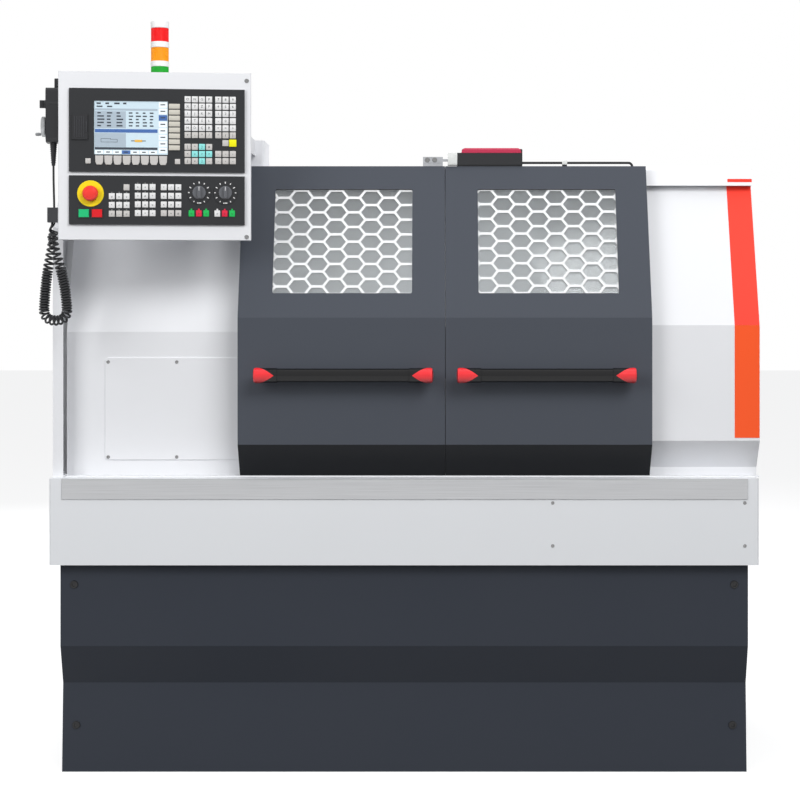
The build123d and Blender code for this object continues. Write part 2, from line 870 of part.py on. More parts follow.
# Servo motor of the long feed, bolted to the right bearing block
with BuildPart() as z_servo_motor:
    with BuildSketch(axis_plane(servo_x[0], screw_y, screw_z)):
        RectangleRounded(servo_size, servo_size, 10)
    extrude(amount=14)
    with BuildSketch(axis_plane(servo_x[0] + 14, screw_y, screw_z)):
        RectangleRounded(servo_size - 16, servo_size - 16, 14)
    extrude(amount=servo_x[1] - servo_x[0] - 14)
    with BuildSketch(axis_plane(servo_x[0], screw_y, screw_z)):
        Circle(screw_radius + fit_gap)
    extrude(amount=34, mode=Mode.SUBTRACT)
keep(z_servo_motor, "z_servo_motor")

# Saddle: it straddles the two ways and carries the feed nut on its apron
gib_clear = 0.2
saddle_length = saddle_x[1] - saddle_x[0]
with BuildPart() as saddle:
    with BuildSketch(side_plane(saddle_x[0])):
        with Locations((sum(saddle_y) / 2, (bed_top + saddle_top) / 2)):
            Rectangle(saddle_y[1] - saddle_y[0], saddle_top - bed_top)
        # Gib strips outside the ways
        with Locations((bed_y[0] - gib_clear - 8, bed_top - 8), (bed_y[1] + gib_clear + 8, bed_top - 8)):
            Rectangle(16, 16)
        # Apron down to the feed nut
        with Locations((screw_y, (screw_z + bed_top) / 2)):
            Rectangle(50, bed_top - screw_z)
    extrude(amount=saddle_length)
    with BuildSketch(side_plane(saddle_x[0] + 90)):
        with Locations((screw_y, screw_z)):
            Circle(screw_radius + 16)
    extrude(amount=saddle_length - 180)
    with BuildSketch(side_plane(saddle_x[0])):
        with Locations((screw_y, screw_z)):
            Circle(screw_radius + nut_clear)
    extrude(amount=saddle_length, mode=Mode.SUBTRACT)
    # Dovetail way for the cross slide
    with BuildSketch(Plane.XZ.offset(-saddle_y[1])):
        with BuildLine():
            mid = sum(slide_x) / 2
            Polyline(
                (mid - dovetail_width / 2, saddle_top),
                (mid - dovetail_width / 2 - 8, saddle_top + dovetail_height),
                (mid + dovetail_width / 2 + 8, saddle_top + dovetail_height),
                (mid + dovetail_width / 2, saddle_top),
                close=True,
            )
        make_face()
    extrude(amount=saddle_y[1] - saddle_y[0])
keep(saddle, "saddle")

# Cross slide: a dovetail carriage with the turret's indexing housing on it
slide_mid = sum(slide_x) / 2
with BuildPart() as cross_slide:
    with BuildSketch(Plane.XZ.offset(-slide_y[1])):
        with Locations((slide_mid, (saddle_top + slide_top) / 2)):
            Rectangle(slide_x[1] - slide_x[0], slide_top - saddle_top)
        with BuildLine():
            Polyline(
                (slide_mid - dovetail_width / 2 - gib_clear, saddle_top),
                (slide_mid - dovetail_width / 2 - 8 - gib_clear, saddle_top + dovetail_height + gib_clear),
                (slide_mid + dovetail_width / 2 + 8 + gib_clear, saddle_top + dovetail_height + gib_clear),
                (slide_mid + dovetail_width / 2 + gib_clear, saddle_top),
                close=True,
            )
        make_face(mode=Mode.SUBTRACT)
    extrude(amount=slide_y[1] - slide_y[0])
    with BuildSketch(side_plane(slide_x[0])):
        with Locations((turret_y, spindle_z - 10)):
            RectangleRounded(turret_head_size, 2 * (spindle_z - 10 - slide_top) , 20)
    extrude(amount=slide_x[1] - slide_x[0] - 20)
    with BuildSketch(axis_plane(slide_x[0] - 7.7, turret_y, spindle_z)):
        Circle(turret_radius - 20)
    extrude(amount=8)
keep(cross_slide, "cross_slide")

# Turret: an eight-sided disc that indexes, and the tools clamped round it
with BuildPart() as turret_head:
    with BuildSketch(radial_plane(turret_x[0], turret_y, spindle_z, 22.5)):
        RegularPolygon(turret_radius, turret_stations, major_radius=False)
    extrude(amount=turret_x[1] - turret_x[0])
    chamfer(turret_head.faces().sort_by(Axis.X)[0].edges(), 3)
    with BuildSketch(axis_plane(turret_x[0] - 6, turret_y, spindle_z)):
        Circle(turret_radius / 2)
    extrude(amount=8)
keep(turret_head, "turret_head")

with BuildPart() as turret_tools:
    for station in range(turret_stations):
        turn = station * 360 / turret_stations
        with BuildSketch(radial_plane(turret_x[0] + 8, turret_y, spindle_z, turn)):
            with Locations(((turret_radius + tool_radius) / 2 - 6, 0)):
                Rectangle(tool_radius - turret_radius - 12, 40)
        extrude(amount=turret_x[1] - turret_x[0] - 16)
        with BuildSketch(radial_plane(turret_x[0] + 9, turret_y, spindle_z, turn)):
            with Locations((tool_radius - 12, 0)):
                Rectangle(24, tool_size)
        extrude(amount=tool_size)
keep(turret_tools, "turret_tools")

# Tailstock: a casting on the ways with a sliding quill and its hand wheel
with BuildPart() as tailstock_body:
    with BuildSketch(side_plane(tail_x[0])):
        with Locations((spindle_y, bed_top + tail_foot_height / 2)):
            Rectangle(bed_y[1] - bed_y[0], tail_foot_height)
        with Locations((spindle_y, (bed_top + spindle_z) / 2)):
            Rectangle(1.5 * tail_radius, spindle_z - bed_top)
        with Locations((spindle_y, spindle_z)):
            Circle(tail_radius)
    extrude(amount=tail_x[1] - tail_x[0])
    foot_top = bed_top + tail_foot_height
    foot_edges = tailstock_body.edges().filter_by(Axis.X).filter_by_position(Axis.Z, foot_top - 1, foot_top + 1)
    fillet(foot_edges, 6)
    with BuildSketch(axis_plane(tail_x[0], spindle_y, spindle_z)):
        Circle(quill_radius + fit_gap)
    extrude(amount=tail_x[1] - tail_x[0], mode=Mode.SUBTRACT)
keep(tailstock_body, "tailstock_body")

with BuildPart() as tailstock_quill:
    with BuildSketch(axis_plane(quill_x[0], spindle_y, spindle_z)):
        Circle(quill_radius)
    extrude(amount=quill_x[1] - quill_x[0])
    with BuildSketch(axis_plane(quill_x[0], spindle_y, spindle_z)):
        Circle(quill_radius - 8)
    extrude(amount=-centre_length, taper=25)
keep(tailstock_quill, "tailstock_quill")

with BuildPart() as tailstock_handwheel:
    with BuildSketch(axis_plane(tail_wheel_x[0], spindle_y, spindle_z)):
        Circle(tail_wheel_radius)
        Circle(tail_wheel_radius - 14, mode=Mode.SUBTRACT)
        Circle(20)
        with PolarLocations(tail_wheel_radius / 2, 3, 0):
            Rectangle(tail_wheel_radius, 12)
    extrude(amount=tail_wheel_x[1] - tail_wheel_x[0])
    with BuildSketch(axis_plane(tail_wheel_x[0], spindle_y, spindle_z)):
        Circle(quill_radius + 6)
    extrude(amount=tail_x[1] + 0.3 - tail_wheel_x[0])
    with BuildSketch(axis_plane(tail_wheel_x[1], spindle_y + tail_wheel_radius - 10, spindle_z)):
        Circle(8)
    extrude(amount=45)
    chamfer(tailstock_handwheel.faces().sort_by(Axis.X)[-1].edges(), 2)
keep(tailstock_handwheel, "tailstock_handwheel")


def box_plane(depth):
    """A plane facing the operator, at a depth behind the box's front, with its sketch Y along Z."""
    across = (math.cos(math.radians(box_turn)), math.sin(math.radians(box_turn)), 0)
    outward = (across[1], -across[0], 0)
    middle = (box_centre[0] - outward[0] * depth, box_centre[1] - outward[1] * depth, 0)
    return Plane(origin=middle, x_dir=across, z_dir=outward)


def box_side_plane(across):
    """A plane facing the box's right, at a place across it, with sketch X to the back and Y along Z."""
    along = (math.cos(math.radians(box_turn)), math.sin(math.radians(box_turn)), 0)
    back = (-along[1], along[0], 0)
    start = (box_centre[0] + along[0] * across, box_centre[1] + along[1] * across, 0)
    return Plane(origin=start, x_dir=back, z_dir=along)


def area(limits):
    """A rectangle given by its left, right, low and high sides."""
    left, right, low, high = limits
    with Locations(((left + right) / 2, (low + high) / 2)):
        Rectangle(right - left, high - low)


# Panel arm: a housing on the roof, an arm over the door tops and the swivel post
with BuildPart() as panel_arm:
    with BuildSketch(Plane.XY.offset(roof_z)):
        with Locations((sum(housing_x) / 2, sum(housing_y) / 2)):
            Rectangle(housing_x[1] - housing_x[0], housing_y[1] - housing_y[0])
    extrude(amount=arm_high - roof_z)
    fillet(panel_arm.edges().filter_by(Axis.Z), 8)
    with BuildSketch(Plane.XY.offset(arm_low)):
        with Locations(pivot):
            Circle(arm_radius)
        with Locations((pivot[0], (pivot[1] + housing_y[0]) / 2 + 10)):
            Rectangle(2 * arm_radius, housing_y[0] - pivot[1] + 20)
    extrude(amount=arm_high - arm_low)
    with BuildSketch(Plane.XY.offset(arm_high)):
        with Locations(pivot):
            Circle(pivot_radius)
    extrude(amount=pivot_boss_high - arm_high)
keep(panel_arm, "panel_arm")

# Control box: a wedge-backed housing with a swivel boss and a gland for the pendant's cord
gland_area = (6, 34, 1337, 1372)
with BuildPart() as control_box:
    with BuildSketch(box_side_plane(-box_width / 2)):
        with BuildLine():
            Polyline(
                (0, box_low),
                (0, box_high),
                (box_depth_high, box_high),
                (box_depth_high, box_depth_z),
                (box_depth_low, box_low),
                close=True,
            )
        make_face()
    extrude(amount=box_width)
    fillet(control_box.edges().filter_by(Axis.Z), 3)
    with BuildSketch(Plane.XY.offset(arm_high + 0.3)):
        with Locations(pivot):
            Circle(pivot_boss_radius)
        with Locations((pivot[0], pivot[1] - 30)):
            Rectangle(2 * pivot_boss_radius, 60)
    extrude(amount=pivot_boss_high - arm_high)
    with BuildSketch(Plane.XY.offset(arm_high)):
        with Locations(pivot):
            Circle(pivot_radius + fit_gap)
    extrude(amount=pivot_boss_high - arm_high + 2, mode=Mode.SUBTRACT)
    with BuildSketch(box_side_plane(-box_width / 2 - 26)):
        area(gland_area)
    extrude(amount=28)
    with BuildSketch(box_plane(0)):
        with Locations(stop_at):
            Circle(12)
    extrude(amount=-14, mode=Mode.SUBTRACT)
keep(control_box, "control_box")


def key_grid(centre, pitch, counts):
    """A block of square keys round a centre."""
    with Locations(centre):
        with GridLocations(pitch[0], pitch[1], counts[0], counts[1]):
            Rectangle(key_size, key_size)


# Operator panel: a plate with the screen, its soft keys, the keypad and the port recess
with BuildPart() as operator_panel:
    with BuildSketch(box_plane(0)):
        area(screen_panel)
    extrude(amount=panel_thick)
    chamfer(operator_panel.faces().sort_by(Axis.Y)[0].edges(), 1)
    with BuildSketch(box_plane(-panel_thick)):
        area(screen_area)
        area((port_area[0] + 6, port_area[1] - 4, port_area[2] + 6, port_area[3] - 6))
    extrude(amount=-2, mode=Mode.SUBTRACT)
    with BuildSketch(box_plane(-panel_thick)):
        for block in screen_key_blocks:
            key_grid(*block)
    extrude(amount=key_rise)
keep(operator_panel, "operator_panel")

# Machine panel: a plate with the mode keys, the dial scales and the holes for its buttons
button_gap = 0.3
with BuildPart() as machine_panel:
    with BuildSketch(box_plane(0)):
        area(machine_panel_area)
    extrude(amount=panel_thick)
    chamfer(machine_panel.faces().sort_by(Axis.Y)[0].edges(), 1)
    with BuildSketch(box_plane(-panel_thick)):
        with Locations(stop_at):
            Circle(stop_disc_radius)
        with Locations(feed_dial_at, spindle_dial_at):
            Circle(1.8 * dial_radius)
        for block in machine_key_blocks:
            key_grid(*block)
    extrude(amount=key_rise)
    with BuildSketch(box_plane(0)):
        with Locations(stop_at):
            Circle(10 + button_gap)
        with Locations(start_at, halt_at):
            Rectangle(button_size[0] + 2 * button_gap, button_size[1] + 2 * button_gap)
        with Locations(feed_dial_at, spindle_dial_at):
            Circle(3 + button_gap)
    extrude(amount=panel_thick + 2 * key_rise, mode=Mode.SUBTRACT)
keep(machine_panel, "machine_panel")

# Emergency stop: a mushroom head on a stem
with BuildPart() as estop_button:
    with BuildSketch(box_plane(8)):
        with Locations(stop_at):
            Circle(10)
    extrude(amount=8 + panel_thick + key_rise + stop_travel + 2)
    with BuildSketch(box_plane(-panel_thick - key_rise - stop_travel - 1)):
        with Locations(stop_at):
            Circle(stop_radius)
    extrude(amount=14)
    chamfer(estop_button.faces().sort_by(Axis.Y)[0].edges(), 4)
keep(estop_button, "estop_button")


def push_button(place):
    """A square push button that sinks into its hole in the machine panel."""
    with BuildPart() as button:
        with BuildSketch(box_plane(-2.5)):
            with Locations(place):
                Rectangle(*button_size)
        extrude(amount=panel_thick + 2)
        chamfer(button.faces().sort_by(Axis.Y)[0].edges(), 1)
    return button


start_button = push_button(start_at)
stop_button = push_button(halt_at)
keep(start_button, "start_button")
keep(stop_button, "stop_button")


def dial(place):
    """An override knob with a gripping ridge, on a short shaft."""
    foot = -panel_thick - key_rise - button_gap
    with BuildPart() as knob:
        with BuildSketch(box_plane(foot)):
            with Locations(place):
                Circle(dial_radius)
        extrude(amount=dial_height / 2)
        with BuildSketch(box_plane(foot - dial_height / 2)):
            with Locations(place):
                Rectangle(8, 1.8 * dial_radius)
        extrude(amount=dial_height / 2)
        with BuildSketch(box_plane(-1)):
            with Locations(place):
                Circle(3)
        extrude(amount=panel_thick - 1 + key_rise + button_gap)
        chamfer(knob.faces().sort_by(Axis.Y)[0].edges(), 1.2)
    return knob


feed_dial = dial(feed_dial_at)
spindle_dial = dial(spindle_dial_at)
keep(feed_dial, "feed_dial")
keep(spindle_dial, "spindle_dial")

# Port flap: a small hinged lid over the port recess
with BuildPart() as usb_flap:
    with BuildSketch(box_plane(-panel_thick - port_flap_gap)):
        area(port_area)
    extrude(amount=port_flap_thick)
    chamfer(usb_flap.faces().sort_by(Axis.Y)[0].edges(), 1)
    # The hinge barrel along its left edge
    barrel_plane = box_plane(-panel_thick - port_flap_gap - port_flap_thick / 2)
    barrel_place = barrel_plane.from_local_coords((port_area[0], port_area[2], 0))
    with BuildSketch(Plane.XY.offset(port_area[2])):
        with Locations((barrel_place.X, barrel_place.Y)):
            Circle(port_flap_thick / 2)
    extrude(amount=port_area[3] - port_area[2])
keep(usb_flap, "usb_flap")

# Pendant: a moulded housing held on the box's left side, with its cord's strain relief
pendant_mid = pendant_setback + pendant_width / 2
pendant_face = -box_width / 2 - pendant_thick
relief_length = 54
relief_across = -box_width / 2 - pendant_thick / 2
with BuildPart() as pendant_body:
    with BuildSketch(box_side_plane(pendant_face)):
        with Locations((pendant_mid, (pendant_low + pendant_high) / 2)):
            RectangleRounded(pendant_width - 8, pendant_high - pendant_low, 12)
        with Locations((pendant_mid, pendant_high - 22)):
            RectangleRounded(pendant_width, 44, 12)
    extrude(amount=pendant_thick)
    with BuildSketch(box_side_plane(-box_width / 2 - 12)):
        with Locations((pendant_mid, pendant_high + 10)):
            RectangleRounded(30, 28, 6)
    extrude(amount=8)
    relief_top = box_side_plane(relief_across).from_local_coords((pendant_mid, pendant_low, 0))
    with BuildSketch(Plane(origin=relief_top, x_dir=(1, 0, 0), z_dir=(0, 0, -1))):
        Circle(8)
    extrude(amount=relief_length, taper=4)
keep(pendant_body, "pendant_body")

# Pendant hand wheel with its crank knob, and the axis selector
with BuildPart() as pendant_wheel:
    with BuildSketch(box_side_plane(pendant_face - 0.3)):
        with Locations((pendant_mid, pendant_wheel_z)):
            Circle(pendant_wheel_radius)
    extrude(amount=-13)
    chamfer(pendant_wheel.faces().sort_by(Axis.X)[0].edges(), 1.8)
    with BuildSketch(box_side_plane(pendant_face - 13)):
        with Locations((pendant_mid, pendant_wheel_z - pendant_wheel_radius + 6)):
            Circle(3.5)
    extrude(amount=-14)
keep(pendant_wheel, "pendant_wheel")

with BuildPart() as pendant_knob:
    with BuildSketch(box_side_plane(pendant_face - 0.3)):
        with Locations((pendant_mid, pendant_knob_z)):
            Circle(10)
    extrude(amount=-6)
    with BuildSketch(box_side_plane(pendant_face - 6)):
        with Locations((pendant_mid, pendant_knob_z)):
            Rectangle(19, 7)
    extrude(amount=-11)
keep(pendant_knob, "pendant_knob")


def tube(route, radius):
    """A round tube along straight runs and the largest arcs that the runs allow."""
    points = [Vector(*point) for point in route]
    radii = []
    for before, corner, after in zip(points, points[1:], points[2:]):
        turn = math.radians((corner - before).get_angle(after - corner))
        run = min((corner - before).length, (after - corner).length)
        radii.append(0.45 * run / math.tan(turn / 2))
    with BuildPart() as piece:
        with BuildLine() as path:
            FilletPolyline(*points, radius=radii)
        with BuildSketch(Plane(origin=points[0], z_dir=points[1] - points[0])):
            Circle(radius)
        sweep(path=path.wires()[0])
    print("radii", [round(value, 1) for value in radii])
    section = math.pi * radius**2
    print("volume over section times length", piece.part.volume / (section * path.wires()[0].length))
    return piece


pendant_cord = tube(cord_route, cord_radius)
pendant_coil = tube(coil_route, coil_radius)
keep(pendant_cord, "pendant_cord")
keep(pendant_coil, "pendant_coil")

# Interlock: the switch on the right door's top, its key on the left door's top
door_top_y = front_y + door_setback
door_top_back = (
    door_top_y + door_depth * math.cos(lean_angle),
    door_top - door_depth * math.sin(lean_angle),
)


def door_top_seat(top):
    """A wedge's outline, which turns the door's sloping top into a level seat."""
    return [(door_top_y, door_top), door_top_back, (door_top_back[0], top), (door_top_y, top)]


switch_mid = door_top_y + switch_depth / 2 - 5
with BuildPart() as interlock_switch:
    with BuildSketch(side_plane(switch_x[0])):
        with BuildLine():
            Polyline(*door_top_seat(switch_z[0]), close=True)
        make_face()
    extrude(amount=switch_x[1] - switch_x[0])
    with BuildSketch(Plane.XY.offset(switch_z[0])):
        with Locations((sum(switch_x) / 2, switch_mid)):
            Rectangle(switch_x[1] - switch_x[0], switch_depth)
    extrude(amount=switch_z[1] - switch_z[0])
    with BuildSketch(Plane.XY.offset(switch_z[1])):
        with Locations((sum(switch_x) / 2 + 6, switch_mid)):
            Rectangle(switch_x[1] - switch_x[0] - 12, switch_depth - 4)
    extrude(amount=10)
    chamfer(interlock_switch.faces().sort_by(Axis.Z)[-1].edges(), 2)
    # The head that the key enters, with a slot that is open to the front and the back
    with BuildSketch(Plane.XY.offset(switch_z[0])):
        with Locations((switch_x[0] - 11, switch_mid)):
            Rectangle(24, switch_depth - 6)
    extrude(amount=switch_z[1] - switch_z[0])
    with BuildSketch(side_plane(switch_x[0] - 23)):
        with Locations((switch_mid, sum(key_z) / 2)):
            Rectangle(switch_depth, 8)
    extrude(amount=14, mode=Mode.SUBTRACT)
keep(interlock_switch, "interlock_switch")

with BuildPart() as interlock_key:
    with BuildSketch(side_plane(key_x[0])):
        with BuildLine():
            Polyline(*door_top_seat(key_z[0]), close=True)
        make_face()
    extrude(amount=key_x[1] - key_x[0])
    with BuildSketch(Plane.XY.offset(key_z[0])):
        with Locations((sum(key_x) / 2, switch_mid - 2)):
            Rectangle(key_x[1] - key_x[0], switch_depth - 10)
    extrude(amount=key_z[1] - key_z[0])
    with BuildSketch(side_plane(key_x[1])):
        with Locations((switch_mid, sum(key_z) / 2)):
            Rectangle(18, 5)
    extrude(amount=switch_x[0] - 23 + 12 - key_x[1])
keep(interlock_key, "interlock_key")

# Interlock lead: it lies along the door's top and turns down into the door
lead_y = (door_top_y + door_top_back[0]) / 2
lead_foot_z = door_top - (lead_y - door_top_y) * math.tan(lean_angle)
with BuildPart() as interlock_cable:
    with BuildLine() as lead_path:
        FilletPolyline(
            (switch_x[1], lead_y, lead_z),
            (lead_end_x, lead_y, lead_z),
            (lead_end_x, lead_y, lead_foot_z - 3),
            radius=9,
        )
    with BuildSketch(side_plane(switch_x[1])):
        with Locations((lead_y, lead_z)):
            Circle(lead_radius)
    sweep(path=lead_path.wires()[0])
    # The clip that ties the lead to the door's top
    with BuildSketch(side_plane(lead_clip_x[0])):
        with Locations((lead_y, lead_z)):
            Rectangle(2 * lead_radius + 3, 2 * lead_radius + 3)
        with Locations((lead_y, (lead_z + lead_foot_z) / 2)):
            Rectangle(6, lead_z - lead_foot_z)
    extrude(amount=lead_clip_x[1] - lead_clip_x[0])
    add(right_door.part, mode=Mode.SUBTRACT)
keep(interlock_cable, "interlock_cable")

# Tower light: a stem with a foot, a base and rings, and three lenses between the rings
with BuildPart() as tower_stem:
    with BuildSketch(Plane.XY.offset(roof_z)):
        with Locations((tower_x, tower_y)):
            Circle(2.2 * stem_radius)
    extrude(amount=10)
    with BuildSketch(Plane.XY.offset(roof_z)):
        with Locations((tower_x, tower_y)):
            Circle(stem_radius)
    extrude(amount=tower_top - 8 - roof_z)
    for low, high in zip((tower_base_z, *[low + lens_height for low in lens_low]), (*lens_low, tower_top)):
        with BuildSketch(Plane.XY.offset(low)):
            with Locations((tower_x, tower_y)):
                Circle(tower_radius)
        extrude(amount=high - low)
    chamfer(tower_stem.faces().sort_by(Axis.Z)[-1].edges(), 4)
keep(tower_stem, "tower_stem")

with BuildPart() as tower_lenses:
    for low in lens_low:
        with BuildSketch(Plane.XY.offset(low)):
            with Locations((tower_x, tower_y)):
                Circle(lens_radius)
                Circle(stem_radius, mode=Mode.SUBTRACT)
        extrude(amount=lens_height)
keep(tower_lenses, "tower_lenses")
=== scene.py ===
"""The looks of an enclosed CNC turning lathe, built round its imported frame. Lengths are in metres."""

import math
import random

import bmesh
import bpy
from mathutils import Matrix, Vector


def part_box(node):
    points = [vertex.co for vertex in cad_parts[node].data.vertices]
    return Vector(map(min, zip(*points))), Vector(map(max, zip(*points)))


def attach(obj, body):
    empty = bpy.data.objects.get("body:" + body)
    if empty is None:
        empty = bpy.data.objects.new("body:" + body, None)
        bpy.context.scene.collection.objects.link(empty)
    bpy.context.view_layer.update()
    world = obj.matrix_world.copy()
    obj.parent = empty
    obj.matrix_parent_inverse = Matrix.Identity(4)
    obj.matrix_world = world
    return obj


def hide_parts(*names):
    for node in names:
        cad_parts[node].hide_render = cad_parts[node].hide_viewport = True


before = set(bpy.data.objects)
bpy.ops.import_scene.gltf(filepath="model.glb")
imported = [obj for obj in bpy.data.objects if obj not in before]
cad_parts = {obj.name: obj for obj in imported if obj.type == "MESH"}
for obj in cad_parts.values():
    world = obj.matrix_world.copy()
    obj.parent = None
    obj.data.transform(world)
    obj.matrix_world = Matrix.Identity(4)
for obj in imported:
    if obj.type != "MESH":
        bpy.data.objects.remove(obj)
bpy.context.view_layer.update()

# Camera: level and opposite the machine, with the picture shifted to match the photograph
CAMERA_PLACE = (0.075, -5.04, 1.129)
CAMERA_LENS = 84.4
CAMERA_SHIFT = (-0.04375, -0.1125)

# The control box stands at an angle: its front's middle, its turn about Z and half its width
BOX_MIDDLE = (-0.591, -0.576)
BOX_TURN = math.radians(6)
BOX_HALF_WIDTH = 0.2285
# How far the panels stand out from the box's front, and the key caps from the panels
PANEL_FACE = 0.006
KEY_RISE = 0.0024

LEFT_BODY = "left_door_body"
RIGHT_BODY = "right_door_body"


# Shader nodes
def set_inputs(tree, node, inputs):
    """Set a node's inputs to values, or join them to other nodes' outputs."""
    for label, given in inputs.items():
        if isinstance(given, bpy.types.NodeSocket):
            tree.links.new(given, node.inputs[label])
        else:
            node.inputs[label].default_value = given


def add_node(tree, kind, inputs, operation=None):
    """A shader node of a kind, with its inputs set or joined."""
    node = tree.nodes.new("ShaderNode" + kind)
    if operation:
        node.operation = operation
    set_inputs(tree, node, inputs)
    return node


def add_group(tree, group, inputs):
    """A node that runs a shader node group."""
    node = tree.nodes.new("ShaderNodeGroup")
    node.node_tree = group
    set_inputs(tree, node, inputs)
    return node


# Camera, lights and the pale studio
LAMPS = [
    ("key", (2.2, -4.2, 4.2), (0, -0.3, 0.9), (3.0, 2.0), 158),
    ("fill", (-3.2, -4.0, 2.6), (0, -0.3, 0.8), (2.5, 2.5), 98),
    ("top", (0.1, -0.6, 4.4), (0.1, -0.3, 1.2), (3.5, 2.5), 40),
    ("rear", (-1.6, 4.6, 3.2), (0, 0.4, 1.0), (3.0, 2.0), 110),
    ("inside", (0.1, -0.15, 1.45), (0.1, -0.1, 0.8), (0.9, 0.25), 4),
]
WORLD_TINT = (0.97, 0.98, 1, 1)
WORLD_SOFT = 0.48
FLOOR_HALF = 30
FLOOR_GLOW = 0.66
FLOOR_SEEN = (0.5, 0.5, 0.5, 1)
FLOOR_UNSEEN = (0.1, 0.1, 0.1, 1)


def add_camera():
    """The photograph's view."""
    data = bpy.data.cameras.new("camera")
    data.sensor_width = 36
    data.lens = CAMERA_LENS
    data.shift_x, data.shift_y = CAMERA_SHIFT
    camera = bpy.data.objects.new("camera", data)
    camera.location = CAMERA_PLACE
    camera.rotation_euler = (math.radians(90), 0, 0)
    bpy.context.collection.objects.link(camera)
    bpy.context.scene.camera = camera


def add_lamp(name, place, target, size, power):
    """A soft rectangular lamp that points at a place and doesn't show in mirrors."""
    data = bpy.data.lights.new(name, "AREA")
    data.shape = "RECTANGLE"
    data.size, data.size_y = size
    data.energy = power
    lamp = bpy.data.objects.new(name, data)
    lamp.location = place
    lamp.visible_glossy = False
    lamp.rotation_euler = (Vector(target) - Vector(place)).to_track_quat("-Z", "Y").to_euler()
    bpy.context.collection.objects.link(lamp)


def shade_by_ray(tree, unseen, seen, output):
    """Show one shader to the camera, mirrors and panes, and another to the rays that only light things."""
    rays = add_node(tree, "LightPath", {}).outputs
    first = add_node(tree, "Math", {0: rays["Is Camera Ray"], 1: rays["Is Glossy Ray"]}, "MAXIMUM")
    both = add_node(tree, "Math", {0: first.outputs[0], 1: rays["Is Transmission Ray"]}, "MAXIMUM")
    mix = add_node(tree, "MixShader", {0: both.outputs[0], 1: unseen.outputs[0], 2: seen.outputs[0]})
    add_node(tree, output, {"Surface": mix.outputs[0]})


def add_studio():
    """A pale floor, a white world and soft lamps."""
    world = bpy.data.worlds.new("studio")
    bpy.context.scene.world = world
    world.use_nodes = True
    tree = world.node_tree
    tree.nodes.clear()
    white = add_node(tree, "Background", {"Color": (1, 1, 1, 1), "Strength": 1})
    soft = add_node(tree, "Background", {"Color": WORLD_TINT, "Strength": WORLD_SOFT})
    shade_by_ray(tree, soft, white, "OutputWorld")

    bm = bmesh.new()
    bmesh.ops.create_grid(bm, x_segments=1, y_segments=1, size=FLOOR_HALF)
    mesh = bpy.data.meshes.new("floor")
    bm.to_mesh(mesh)
    bm.free()
    floor = bpy.data.objects.new("floor", mesh)
    bpy.context.collection.objects.link(floor)
    pale = bpy.data.materials.new("pale_floor")
    pale.use_nodes = True
    tree = pale.node_tree
    tree.nodes.clear()
    card = add_node(tree, "BsdfDiffuse", {"Color": FLOOR_SEEN})
    dim = add_node(tree, "BsdfDiffuse", {"Color": FLOOR_UNSEEN})
    shine = add_node(tree, "Emission", {"Strength": FLOOR_GLOW})
    both = add_node(tree, "AddShader", {0: card.outputs[0], 1: shine.outputs[0]})
    shade_by_ray(tree, dim, both, "OutputMaterial")
    mesh.materials.append(pale)
    for lamp in LAMPS:
        add_lamp(*lamp)
    bpy.context.scene.view_settings.view_transform = "Standard"


# Shared surface effects
COLOUR, FLOAT, VECTOR = "NodeSocketColor", "NodeSocketFloat", "NodeSocketVector"
GREY = (0.8, 0.8, 0.8, 1)


def new_group(name, inputs, outputs):
    """A shader node group that is still empty: its tree, the values it is given, and its output node."""
    group = bpy.data.node_groups.new(name, "ShaderNodeTree")
    for label, kind, value in inputs:
        socket = group.interface.new_socket(label, in_out="INPUT", socket_type=kind)
        socket.default_value = value
    for label, kind in outputs:
        group.interface.new_socket(label, in_out="OUTPUT", socket_type=kind)
    return group, group.nodes.new("NodeGroupInput").outputs, group.nodes.new("NodeGroupOutput")


def surface_texture_group():
    """Fine grain and broad unevenness: a colour, a roughness and a height over the surface."""
    group, given, result = new_group(
        "paint_texture",
        [
            ("Colour", COLOUR, GREY), ("Roughness", FLOAT, 0.5), ("Grain scale", FLOAT, 900),
            ("Grain depth", FLOAT, 1), ("Unevenness", FLOAT, 0.04),
        ],
        [("Colour", COLOUR), ("Roughness", FLOAT), ("Height", FLOAT)],
    )
    place = add_node(group, "TexCoord", {}).outputs["Object"]
    grain = add_node(group, "TexNoise", {"Vector": place, "Scale": given["Grain scale"], "Detail": 3})
    broad = add_node(group, "TexNoise", {"Vector": place, "Scale": 3.5, "Detail": 4})
    shift = add_node(group, "Math", {0: broad.outputs["Fac"], 1: 0.5}, "SUBTRACT").outputs[0]
    swing = add_node(group, "Math", {0: shift, 1: given["Unevenness"], 2: 1}, "MULTIPLY_ADD")
    tint = add_node(group, "VectorMath", {0: given["Colour"], "Scale": swing.outputs[0]}, "SCALE")
    rough = add_node(group, "Math", {0: shift, 1: 0.25, 2: given["Roughness"]}, "MULTIPLY_ADD")
    deep = add_node(group, "Math", {0: grain.outputs["Fac"], 1: given["Grain depth"]}, "MULTIPLY")
    height = deep.outputs[0]
    set_inputs(group, result, {"Colour": tint.outputs[0], "Roughness": rough.outputs[0], "Height": height})
    return group


